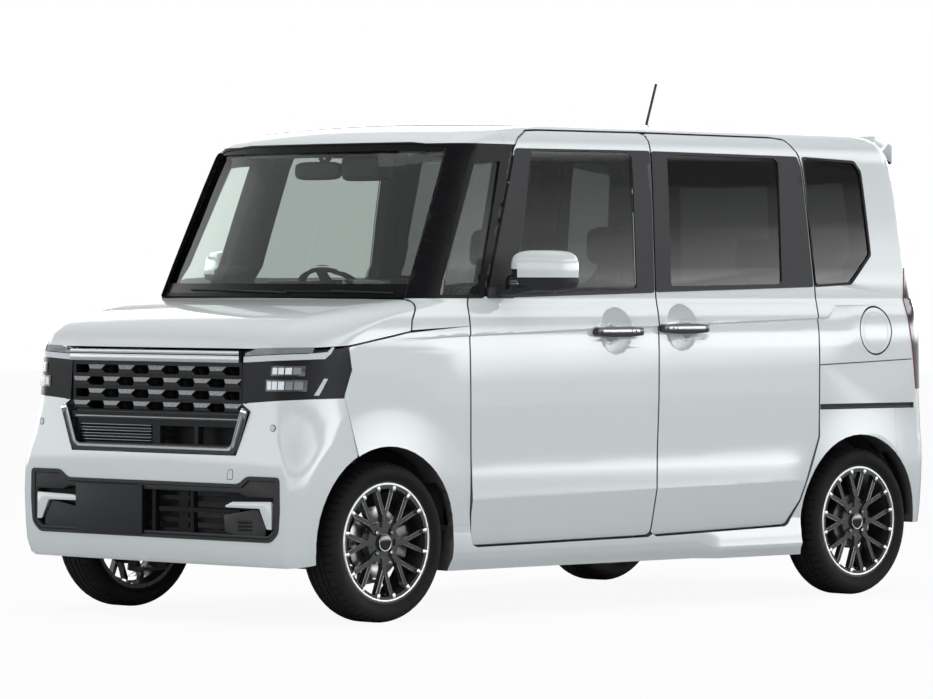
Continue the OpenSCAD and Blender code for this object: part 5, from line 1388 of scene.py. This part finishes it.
for where, side, y in (("front_left", 1, FRONT_AXLE), ("front_right", -1, FRONT_AXLE), ("rear_left", 1, REAR_AXLE),
                       ("rear_right", -1, REAR_AXLE)):
    put = Matrix.Translation((side * WHEEL_X, y, AXLE_Z)) @ Matrix.Scale(side, 4, (1, 0, 0))
    link("wheel_dress_" + where, moved(wheel_dress("front" in where), put), "wheel_" + where, slot="alloy")
    tyre = link("tyre_form_" + where, moved(tyre_mesh(), put), "wheel_" + where, slot="tyre_rubber",
                smooth_angle=28.0)
    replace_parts(tyre, "tyre_" + where)
    if "front" in where:
        link("caliper_" + where, moved(caliper_mesh(), put), "knuckle_" + where.split("_")[1], slot="steel")

# Mirrors, handles, wipers


def blob(centre, half, power, n=(28, 18)):
    """A rounded box: a ball squared off by a power."""
    rows = []
    for i in range(n[1] + 1):
        v = -math.pi / 2 + math.pi * i / n[1]
        for j in range(n[0]):
            u = 2 * math.pi * j / n[0]
            bend = lambda t: math.copysign(abs(t) ** power, t)
            p = (bend(math.cos(v)) * bend(math.cos(u)), bend(math.cos(v)) * bend(math.sin(u)), bend(math.sin(v)))
            rows.append([centre[k] + half[k] * p[k] for k in range(3)])
    faces = [(i * n[0] + j, i * n[0] + (j + 1) % n[0], (i + 1) * n[0] + (j + 1) % n[0], (i + 1) * n[0] + j)
             for i in range(n[1]) for j in range(n[0])]
    bm = bmesh.new()
    bm.from_mesh(mesh_of("blob", rows, faces))
    bmesh.ops.remove_doubles(bm, verts=bm.verts, dist=1e-6)
    return bm


MIRROR_AT, MIRROR_HALF = (0.858, -0.588, 1.234), (0.098, 0.060, 0.074)
MIRROR_PART, MIRROR_STEP, MIRROR_SWEEP = 1.209, 0.030, 0.42


def mirror_head():
    """A rounded head, white above a stepped parting line and black below, its outer end swept back."""
    bm = blob(MIRROR_AT, MIRROR_HALF, 0.52, (36, 24))
    inner = MIRROR_AT[0] - 0.058
    planes = [((0, 0, z + d), (0, 0, 1)) for z in (MIRROR_PART, MIRROR_PART + MIRROR_STEP) for d in (-0.002, 0.002)]
    for at, normal in planes + [((inner, 0, 0), (1, 0, 0))]:
        bmesh.ops.bisect_plane(bm, geom=bm.verts[:] + bm.edges[:] + bm.faces[:], plane_co=at, plane_no=normal)
    back = MIRROR_AT[1] + MIRROR_HALF[1] * 0.86
    for f in bm.faces:
        c = f.calc_center_median()
        line = c.z - MIRROR_PART - (MIRROR_STEP if c.x < inner else 0)
        f.material_index = 0 if line > 0.0019 else (2 if line > -0.0019 else 1)
        if c.y > back and abs(c.x - MIRROR_AT[0]) < 0.080 and abs(c.z - MIRROR_AT[2]) < 0.056:
            f.material_index = 3
    for v in bm.verts:
        low = v.co.z < MIRROR_PART - 0.0021 + (MIRROR_STEP if v.co.x < inner - 1e-4 else 0)
        v.co.y = min(v.co.y, back + 0.004) + MIRROR_SWEEP * (v.co.x - MIRROR_AT[0]) + (0.007 if low else 0)
    m = bm_mesh("mirror_head", bm)
    for mat in (PAINT, BLACK, SEAL, MIRROR):
        m.materials.append(mat)
    return m


def mirror_mesh():
    foot = box_mesh((0.694, -0.735, 1.136), (0.722, -0.600, 1.176), 0.006, mat=BLACK)
    arm = sweep([(0.705, -0.668, 1.158), (0.745, -0.662, 1.158), (0.790, -0.640, 1.164),
                 (0.830, -0.610, 1.176)], 0.030, 12,
                BLACK, squash=0.52)
    knuckle = bm_mesh("knuckle", blob((0.768, -0.636, 1.186), (0.032, 0.046, 0.038), 0.7, (16, 12)))
    return joined("mirror", [mirror_head(), foot, arm, with_mat(knuckle, PIANO)])


left = mirror_mesh()
right = mirrored(left, "mirror_form_right")
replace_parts(link("mirror_form_left", left, "door_left", slot="body_paint"), "mirror_left")
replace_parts(link("mirror_form_right", right, "door_right", slot="body_paint"), "mirror_right")

HANDLE_X = HALF_W + 0.004


def handle_mesh(y, z, key):
    """Dark grip with a bright strip over its bowl; key is +1 or -1, the end with the lock dot."""
    ends = [(y - 0.122, z - 0.015), (y - 0.122, z + 0.013), (y - 0.05, z + 0.017), (y + 0.05, z + 0.017),
            (y + 0.122, z + 0.013), (y + 0.122, z - 0.015), (y + 0.05, z - 0.021), (y - 0.05, z - 0.021)]
    grip = prism_mesh(rounded(ends, 0.010, 4), HANDLE_X - 0.010, HANDLE_X + 0.0165, bevel=0.006, mat=GRIP, axis="x")
    strip = box_mesh((HANDLE_X + 0.0140, y - 0.098, z - 0.0065), (HANDLE_X + 0.0190, y + 0.098, z + 0.0060),
                     0.002, mat=SILVER)
    split = box_mesh((HANDLE_X + 0.0150, y + key * 0.055 - 0.0015, z - 0.0070),
                     (HANDLE_X + 0.0194, y + key * 0.055 + 0.0015, z + 0.0065), 0.0, mat=SEAL)
    dot = moved(lathe([(0.0, 0.0), (0.0042, 0.0), (0.0050, -0.003)], 16, SEAL),
                Matrix.Translation((HANDLE_X + 0.0193, y + key * 0.076, z)))
    feet = [box_mesh((HANDLE_X - 0.020, y + s * 0.105 - 0.016, z - 0.011),
                     (HANDLE_X - 0.002, y + s * 0.105 + 0.016, z + 0.011), 0.004, mat=GRIP) for s in (-1, 1)]
    return joined("handle", [grip, strip, split, dot] + feet)


both_sides(lambda: handle_mesh(DOOR_SPLIT - 0.220, 1.016, 1), "front_handle", "door_{}", "black_plastic")
both_sides(lambda: handle_mesh(DOOR_SPLIT + 0.134, 1.026, -1), "slide_handle", "body", "black_plastic")


ARM_LIFT, BLADE_LIFT = 0.0060, 0.0050    # of the wipers, off the windscreen


def wiper_mesh(pivot, tip, blade):
    """An arm and blade lying low on the windscreen, clear of the opening bonnet, given by front-view points."""
    middle = lambda a, b: ((a[0] + b[0]) / 2, (a[1] + b[1]) / 2)
    arm = on_skin([pivot, middle(pivot, tip), tip], "front", ARM_LIFT)
    rail = on_skin([blade[0], middle(*blade), blade[1]], "front", BLADE_LIFT)
    return [sweep(arm, 0.0045, 8, BLACK, squash=0.8), sweep(rail, 0.0035, 6, SEAL),
            sweep([rail[1], arm[2]], 0.0040, 6, BLACK)]


link("wipers", joined("wipers", wiper_mesh((0.10, 1.151), (-0.22, 1.159), ((-0.46, 1.161), (0.02, 1.156)))
                      + wiper_mesh((0.585, 1.150), (0.31, 1.158), ((0.08, 1.157), (0.54, 1.153)))), "body",
                      slot="black_plastic")

# Cabin

PAD_VOXEL, PAD_TRAVEL, PAD_PRESSURE = 0.012, 0.024, 4.0


def slab(width, profile, soft):
    """A side-view outline (y, z) across the seat with soft edges."""
    return prism_mesh(rounded(profile, soft, 5), -width / 2, width / 2, axis="x", bevel=soft * 0.6)


def swollen(meshes):
    """Pads remeshed and blown up by cloth simulation, each point's travel capped."""
    scene = bpy.context.scene
    pads, starts = [], []
    for m in meshes:
        o = bpy.data.objects.new("pad", m)
        scene.collection.objects.link(o)
        r = o.modifiers.new("remesh", "REMESH")
        r.mode, r.voxel_size = "VOXEL", PAD_VOXEL
        base = bpy.data.meshes.new_from_object(o.evaluated_get(bpy.context.evaluated_depsgraph_get()))
        o.modifiers.clear()
        o.data = base
        co = np.empty(len(base.vertices) * 3)
        base.vertices.foreach_get("co", co)
        pads.append(o)
        starts.append(co.reshape(-1, 3))
    for o in pads:
        c = o.modifiers.new("cloth", "CLOTH")
        c.settings.use_pressure = True
        c.settings.uniform_pressure_force = PAD_PRESSURE
        c.settings.effector_weights.gravity = 0
        c.point_cache.frame_start, c.point_cache.frame_end = 1, 20
    for f in range(1, 21):
        scene.frame_set(f)
    dg = bpy.context.evaluated_depsgraph_get()
    out = []
    for o, start in zip(pads, starts):
        m = bpy.data.meshes.new_from_object(o.evaluated_get(dg))
        co = np.empty(len(m.vertices) * 3)
        m.vertices.foreach_get("co", co)
        step = co.reshape(-1, 3) - start
        far = np.linalg.norm(step, axis=1)
        step *= np.minimum(1, PAD_TRAVEL / np.maximum(far, 1e-9))[:, None]
        m.vertices.foreach_set("co", (start + step).ravel())
        out.append(m)
    scene.frame_set(1)
    for o in pads:
        o.modifiers.clear()
        bpy.data.objects.remove(o)
    return out


def channels(mesh, lines, depth=0.007, reach=0.010):
    """Sewn channels pressed into the pad's seating face along lines of equal x."""
    co = np.empty(len(mesh.vertices) * 3)
    mesh.vertices.foreach_get("co", co)
    co = co.reshape(-1, 3)
    n = np.empty(len(mesh.vertices) * 3)
    mesh.vertices.foreach_get("normal", n)
    n = n.reshape(-1, 3)
    front = np.clip(n[:, 2] * 1.2 - n[:, 1] * 1.2, 0, 1)
    for x in lines:
        co -= n * (depth * front * np.exp(-((co[:, 0] - x) / reach) ** 2))[:, None]
    mesh.vertices.foreach_set("co", co.ravel())
    return mesh


def seat_blocks(w, bh):
    """Slightly small starting blocks of one seat at x 0, front edge at y 0: cushion, back, headrest."""
    cushion = slab(w - 0.05,
                   [(0.022, 0.512), (0.022, 0.590), (0.045, 0.620), (0.300, 0.602), (0.470, 0.590), (0.560, 0.580),
                              (0.560, 0.512)], 0.030)
    back = slab(w - 0.055, [(0.492, 0.628), (0.530, 0.800), (0.590, 0.620 + bh), (0.640, 0.628 + bh),
                            (0.662, 0.600 + bh), (0.600, 0.600)], 0.026)
    rest = bm_mesh("rest", blob((0, 0.640, 0.770 + bh), (0.105, 0.034, 0.072), 0.5, (24, 16)))
    return [cushion, back, rest]


def seat_row(name, node, spots, pads, bh, base_y):
    """A row of seats from one set of pads, with headrest posts and plinths."""
    meshes, posts = [], []
    for x, y0 in spots:
        for m in pads:
            meshes.append(moved(m.copy(), Matrix.Translation((x, y0, 0))))
        for s in (-0.05, 0.05):
            posts.append(sweep([(x + s, y0 + 0.625, 0.60 + bh), (x + s, y0 + 0.64, 0.73 + bh)], 0.006, 8, STEEL))
        posts.append(box_mesh((x - 0.205, base_y[0], 0.2635), (x + 0.205, base_y[1], 0.512), 0.012, mat=TRIM))
    o = link(name, joined(name, meshes), "body", slot="seat_cloth", smooth_angle=70.0)
    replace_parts(o, node)
    link(name + "_posts", joined("posts", posts), "body", slot="cabin_plastic")


def dressed_pads(pads, w):
    """Darker wings outside the channels, a plain cloth panel between them."""
    line = w / 2 - 0.105
    for m in pads[:2]:
        channels(m, (-line, line))
    for m in pads:
        for mat in (CLOTH, CLOTH_SIDE):
            m.materials.append(mat)
        for f in m.polygons:
            f.material_index = int(abs(f.center.x) > line)
    return pads


SEATS = (("front_seat_pads", "front_seats", ((-0.33, -0.340), (0.33, -0.340)), 0.50, 0.560, (-0.275, 0.155)),
         ("rear_seat_pads", "rear_seats", ((-0.262, 0.570), (0.262, 0.570)), 0.48, 0.520, (0.615, 0.840)))
blown = swollen([m for s in SEATS for m in seat_blocks(s[3], s[4])])
for k, (name, node, spots, w, bh, base_y) in enumerate(SEATS):
    seat_row(name, node, spots, dressed_pads(blown[3 * k:3 * k + 3], w), bh, base_y)


def dash_dress():
    """Screen, vents, instrument hood and trim strip."""
    out = [box_mesh((-0.130, -0.640, 1.030), (0.110, -0.596, 1.180), 0.006, mat=SCREEN),
           box_mesh((-0.455, -0.735, 1.105), (-0.205, -0.640, 1.170), 0.025, 3, mat=TRIM_SOFT),
           box_mesh((-0.435, -0.655, 1.112), (-0.225, -0.636, 1.158), 0.005, mat=SCREEN),
           box_mesh((0.120, -0.606, 0.925), (0.585, -0.590, 0.960), 0.005, mat=SILVER),
           box_mesh((-0.120, -0.583, 0.780), (0.060, -0.570, 0.890), 0.006, mat=PIANO)]
    vent = box_mesh((-0.055, -0.606, -0.0035), (0.055, -0.594, 0.0035), 0.001)
    for x in (-0.53, 0.19, 0.53):
        stack = repeated(vent, ROWS, BLACK, Across=1, Rows=5, Step=(0, 0, 0), Row_Step=(0, 0, 0.014),
                         Odd_Shift=(0, 0, 0))
        out.append(moved(stack, Matrix.Translation((x, 0, 0.985))))
    knob = lathe([(0.0, 0.016), (0.014, 0.016), (0.017, 0.012), (0.018, 0.0)], 24)
    knob = moved(knob, Matrix.Rotation(math.pi / 2, 4, "Z"))
    knobs = repeated(knob, ROWS, SILVER, Across=3, Rows=1, Step=(0.055, 0, 0), Row_Step=(0, 0, 0),
                     Odd_Shift=(0, 0, 0))
    out.append(moved(knobs, Matrix.Translation((-0.085, -0.570, 0.83))))
    lever = sweep([(-0.030, -0.60, 0.905), (-0.030, -0.560, 0.93), (-0.030, -0.548, 0.965)], 0.012, 10, TRIM_SOFT)
    out.append(lever)
    return out


link("dash_dress", joined("dash_dress", dash_dress()), "body", slot="cabin_plastic")

STEER_HUB, STEER_TILT = Vector((-0.33, -0.475, 1.090)), math.radians(-62)


def steering_dress():
    """Spoke trims, pad and stalk-side buttons in the wheel's own plane."""
    pad = bm_mesh("pad", blob((0, 0, 0.004), (0.070, 0.058, 0.020), 0.6, (24, 12)))
    out = [with_mat(pad, TRIM)]
    for s in (-1, 1):
        out.append(box_mesh((min(s * 0.075, s * 0.15), -0.012, -0.006),
                            (max(s * 0.075, s * 0.15), 0.012, 0.006), 0.004, mat=SILVER))
        out.append(box_mesh((min(s * 0.09, s * 0.125), -0.008, 0.004),
                            (max(s * 0.09, s * 0.125), 0.008, 0.009), 0.003, mat=PIANO))
    place_at = Matrix.Translation(STEER_HUB) @ Matrix.Rotation(STEER_TILT, 4, "X")
    return moved(joined("steering_dress", out), place_at)


link("steering_dress", steering_dress(), "steering_wheel", slot="cabin_plastic")


def cabin_dress():
    """Inner mirror, sensor housing, sun visors and grab handles."""
    glass = bm_mesh("inner", blob((-0.095, -0.795, 1.598), (0.118, 0.020, 0.034), 0.5, (24, 12)))
    stem = sweep([(-0.06, -0.795, 1.625), (-0.02, -0.790, 1.668)], 0.010, 8, BLACK)
    pod = box_mesh((0.020, -0.800, 1.560), (0.210, -0.700, 1.655), 0.022, 3, mat=BLACK)
    out = [with_mat(glass, BLACK), stem, pod]
    for s in (-1, 1):
        out.append(box_mesh((min(s * 0.26, s * 0.56), -0.735, 1.655), (max(s * 0.26, s * 0.56), -0.585, 1.672),
                            0.007, mat=HEADLINER))
        out.append(sweep([(s * 0.612, -0.30, 1.668), (s * 0.600, -0.28, 1.640), (s * 0.600, -0.10, 1.640),
                          (s * 0.612, -0.08, 1.668)],
                         0.009, 8, TRIM))
    return out


link("cabin_dress", joined("cabin_dress", cabin_dress()), "body", slot="cabin_plastic")


def door_card():
    """Arm rest, pull, speaker ring and pocket on the inside of the left front door."""
    x = HALF_W - 0.058
    rest = box_mesh((x - 0.052, -0.50, 0.800), (x, -0.02, 0.842), 0.012, 3, mat=TRIM_SOFT)
    pull = box_mesh((x - 0.030, -0.62, 0.930), (x, -0.52, 0.962), 0.006, mat=SILVER)
    pocket = box_mesh((x - 0.045, -0.62, 0.330), (x, 0.02, 0.440), 0.014, 3, mat=TRIM)
    ring = lathe([(0.070, 0.0), (0.076, -0.008), (0.084, -0.008), (0.088, 0.0)], 32, BLACK)
    cone = lathe([(0.0, -0.004), (0.070, -0.002)], 32, SEAL)
    speaker = moved(joined("speaker", [ring, cone]), Matrix.Translation((x, -0.62, 0.56)))
    return joined("card", [rest, pull, pocket, speaker])


both_sides(door_card, "door_card", "door_{}", "cabin_plastic")

FLOOR_Z, LOAD_Z = 0.262, 0.480
link("carpet", joined("carpet", [
    box_mesh((-0.600, -0.870, FLOOR_Z + 0.0008), (0.600, 0.846, FLOOR_Z + 0.008), 0.002, mat=CARPET),
    box_mesh((-0.480, 0.862, LOAD_Z + 0.0008), (0.480, 1.500, LOAD_Z + 0.010), 0.002, mat=CARPET)]), "body",
    slot="cabin_plastic")

# Rear


def tail_guides():
    """Light guides, amber and white fields in the left tail lamp."""
    out = []
    for x0, x1, z0, z1, mat in ((0.668, 0.676, 0.900, 1.225, STOP), (0.684, 0.692, 0.900, 1.205, STOP),
                                (0.662, 0.700, 0.850, 0.888, AMBER), (0.662, 0.704, 0.802, 0.842, LENS)):
        loop = [(x0, z0), (x1, z0), (x1 - 0.010, z1), (x0 - 0.010, z1)]
        out.append(patch_mesh(rounded(loop, 0.004), "rear", lift=0.0025, depth=0.005, step=0.02, mat=mat))
    return joined("guides", out)


both_sides(tail_guides, "tail_guides", BODY_OF["tail_lamps"], "red_lens")


def gate_dress():
    """Handle bar, wiper with its pivot cap and pane border on the tailgate."""
    bar = [(-0.270, 0.962), (0.270, 0.962), (0.286, 0.980), (0.270, 1.000), (-0.270, 1.000), (-0.286, 0.980)]
    out = [patch_mesh(rounded(bar, 0.008), "rear", lift=0.014, depth=0.022, step=0.03, mat=PIANO)]
    strip = [(-0.255, 0.990), (0.255, 0.990), (0.255, 0.996), (-0.255, 0.996)]
    out.append(patch_mesh(strip, "rear", lift=0.0155, depth=0.004, step=0.03, mat=DARK_CHROME))
    edge = [(-0.574, 1.138), (0.574, 1.138), (0.544, 1.612), (-0.544, 1.612)]
    sight = [(-0.545, 1.172), (0.545, 1.172), (0.518, 1.585), (-0.518, 1.585)]
    out.append(patch_mesh([rounded(edge, 0.05, 6), rounded(sight, 0.04, 6)], "rear", lift=0.0015, depth=0.004,
                          step=0.03, mat=SATIN))
    pivot = (0.0, 1.150)
    hub = on_skin([pivot], "rear", 0.012)[0]
    cap = moved(lathe([(0.0, 0.018), (0.014, 0.016), (0.019, 0.006), (0.020, -0.014)], 24, BLACK),
                Matrix.Translation(hub) @ Matrix.Rotation(math.pi / 2, 4, "Z"))
    arm = on_skin([pivot, (0.12, 1.178), (0.24, 1.196)], "rear", 0.022)
    blade = on_skin([(0.06, 1.190), (0.21, 1.196), (0.36, 1.200)], "rear", 0.011)
    out += [cap, sweep(arm, 0.008, 8, BLACK, squash=0.6), sweep(blade, 0.006, 6, SEAL),
            sweep([blade[1], arm[2]], 0.006, 6, BLACK)]
    return joined("gate_dress", out)


link("gate_dress", gate_dress(), BODY_OF["tailgate"], slot="black_plastic")


def bumper_back():
    """Reflector on the left of the rear bumper."""
    loop = [(0.500, 0.392), (0.610, 0.398), (0.606, 0.432), (0.500, 0.424)]
    return joined("reflector",
                  [patch_mesh(rounded(loop, 0.006), "rear", lift=0.003, depth=0.006, step=0.02, mat=STOP)])


both_sides(bumper_back, "rear_reflector", "body", "red_lens")

# Stage

SOFT_LIGHT = 0.66                # strength of the surrounding light
STRIP_LIGHT = 6.6                # brightness of the long light that shiny faces show near the horizon
STRIP_RAMP = ((0.0, 0.08), (0.507, 0.11), (0.533, 1.0), (0.59, 1.0), (0.622, 0.70), (0.648, 0.12),
              (0.68, 0.03), (0.715, 0.03), (0.757, 0.62), (0.80, 0.62), (0.87, 0.46), (0.95, 0.24), (1.0, 0.06))
FRONT_SHARE = 0.40               # brightness of that band ahead of the car, against behind it
FLOOR_WHITE = 0.93               # share of plain white in the floor that the camera sees
CAMERA_ANGLES = (45.02, 0.72, 0.15)   # degrees: round the car, above the horizon, roll
CAMERA_AT, CAMERA_LENS = (13.95188, -14.06666, 1.18942), 203.37


def nodes_of(tree, *kinds):
    return [tree.nodes.new("ShaderNode" + k) for k in kinds]


def make_stage():
    """A pale floor that fades to white for the camera, keeps the shadow and looks grey in shiny faces."""
    half = 40.0
    m = mesh_of("studio_floor", [(-half, -half, 0), (half, -half, 0), (half, half, 0), (-half, half, 0)],
                [(0, 1, 2, 3)])
    o = bpy.data.objects.new("studio_floor", m)
    bpy.context.scene.collection.objects.link(o)
    mat = bpy.data.materials.new("pale_floor")
    mat.use_nodes = True
    t = mat.node_tree
    t.nodes.clear()
    out, diffuse, white, path, share, mix, tone = nodes_of(
        t, "OutputMaterial", "BsdfDiffuse", "Emission", "LightPath", "Math", "MixShader", "Mix")
    tone.data_type = "RGBA"
    tone.inputs["A"].default_value = (0.84, 0.85, 0.85, 1)
    tone.inputs["B"].default_value = (0.30, 0.31, 0.32, 1)
    t.links.new(path.outputs["Is Glossy Ray"], tone.inputs["Factor"])
    t.links.new(tone.outputs["Result"], diffuse.inputs["Color"])
    white.inputs["Color"].default_value = (1, 1, 1, 1)
    white.inputs["Strength"].default_value = 1.0
    share.operation = "MULTIPLY"
    share.inputs[1].default_value = FLOOR_WHITE
    t.links.new(path.outputs["Is Camera Ray"], share.inputs[0])
    t.links.new(share.outputs["Value"], mix.inputs["Fac"])
    t.links.new(diffuse.outputs["BSDF"], mix.inputs[1])
    t.links.new(white.outputs["Emission"], mix.inputs[2])
    t.links.new(mix.outputs["Shader"], out.inputs["Surface"])
    m.materials.append(mat)
    o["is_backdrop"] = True


def make_world():
    """White to the eye and through glass, soft light elsewhere, and a long bright band low down for shiny faces."""
    w = bpy.data.worlds.new("studio")
    bpy.context.scene.world = w
    w.use_nodes = True
    t = w.node_tree
    t.nodes.clear()
    out, soft, band, white, path, seen, first, last, where, split, lift, ramp = nodes_of(
        t, "OutputWorld", "Background", "Background", "Background", "LightPath", "Math", "MixShader",
        "MixShader", "TexCoord", "SeparateXYZ", "Math", "ValToRGB")
    ahead = t.nodes.new("ShaderNodeMapRange")
    for label, value in (("From Min", -0.4), ("From Max", 0.4), ("To Min", FRONT_SHARE * STRIP_LIGHT),
                         ("To Max", STRIP_LIGHT)):
        ahead.inputs[label].default_value = value
    soft.inputs["Color"].default_value = (0.93, 0.97, 1.0, 1)
    soft.inputs["Strength"].default_value = SOFT_LIGHT
    white.inputs["Color"].default_value = (1, 1, 1, 1)
    t.links.new(where.outputs["Generated"], split.inputs["Vector"])
    lift.operation = "MULTIPLY_ADD"
    lift.inputs[1].default_value, lift.inputs[2].default_value = 1.0, 0.5
    t.links.new(split.outputs["Z"], lift.inputs[0])
    t.links.new(split.outputs["Y"], ahead.inputs["Value"])
    t.links.new(ahead.outputs["Result"], band.inputs["Strength"])
    t.links.new(lift.outputs["Value"], ramp.inputs["Fac"])
    steps = ramp.color_ramp.elements
    steps[0].position, steps[1].position = STRIP_RAMP[0][0], STRIP_RAMP[-1][0]
    for at, _ in STRIP_RAMP[1:-1]:
        steps.new(at)
    for step, (_, v) in zip(steps, STRIP_RAMP):
        step.color = (v, v, v, 1)
    t.links.new(ramp.outputs["Color"], band.inputs["Color"])
    seen.operation = "MAXIMUM"
    t.links.new(path.outputs["Is Camera Ray"], seen.inputs[0])
    t.links.new(path.outputs["Is Transmission Ray"], seen.inputs[1])
    for mix, fac, a, b in ((first, path.outputs["Is Glossy Ray"], soft.outputs["Background"],
                            band.outputs["Background"]),
                           (last, seen.outputs["Value"], first.outputs["Shader"], white.outputs["Background"])):
        t.links.new(fac, mix.inputs["Fac"])
        t.links.new(a, mix.inputs[1])
        t.links.new(b, mix.inputs[2])
    t.links.new(last.outputs["Shader"], out.inputs["Surface"])


def make_lamp(name, at, towards, size, watts):
    d = bpy.data.lights.new(name, "AREA")
    d.shape = "RECTANGLE"
    d.size, d.size_y = size
    d.energy = watts
    o = bpy.data.objects.new(name, d)
    bpy.context.scene.collection.objects.link(o)
    o.visible_glossy = False
    o.location = at
    o.rotation_mode = "QUATERNION"
    o.rotation_quaternion = (Vector(towards) - Vector(at)).to_track_quat("-Z", "Y")


def make_camera():
    """The photograph's viewpoint."""
    az, el, roll = (math.radians(a) for a in CAMERA_ANGLES)
    back = Vector((math.sin(az) * math.cos(el), -math.cos(az) * math.cos(el), math.sin(el)))
    right = Vector((math.cos(az), math.sin(az), 0))
    up = back.cross(right)
    r = right * math.cos(roll) + up * math.sin(roll)
    u = up * math.cos(roll) - right * math.sin(roll)
    d = bpy.data.cameras.new("viewpoint")
    d.sensor_width, d.lens = 36.0, CAMERA_LENS
    d.clip_end = 200
    o = bpy.data.objects.new("viewpoint", d)
    bpy.context.scene.collection.objects.link(o)
    o.matrix_world = Matrix.Translation(CAMERA_AT) @ Matrix((r, u, back)).transposed().to_4x4()
    bpy.context.scene.camera = o


make_stage()
make_world()
make_lamp("overhead", (0.0, -0.3, 5.0), (0, 0, 0.5), (5.0, 6.0), 110)
make_lamp("front_left", (5.0, -7.5, 3.0), (0, -0.6, 0.8), (4.0, 2.6), 20)
make_camera()
bpy.context.scene.view_settings.view_transform = "Standard"

low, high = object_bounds()
{"cad": [list(CAD_LOW), list(CAD_HIGH)], "visual": [list(low), list(high)]}
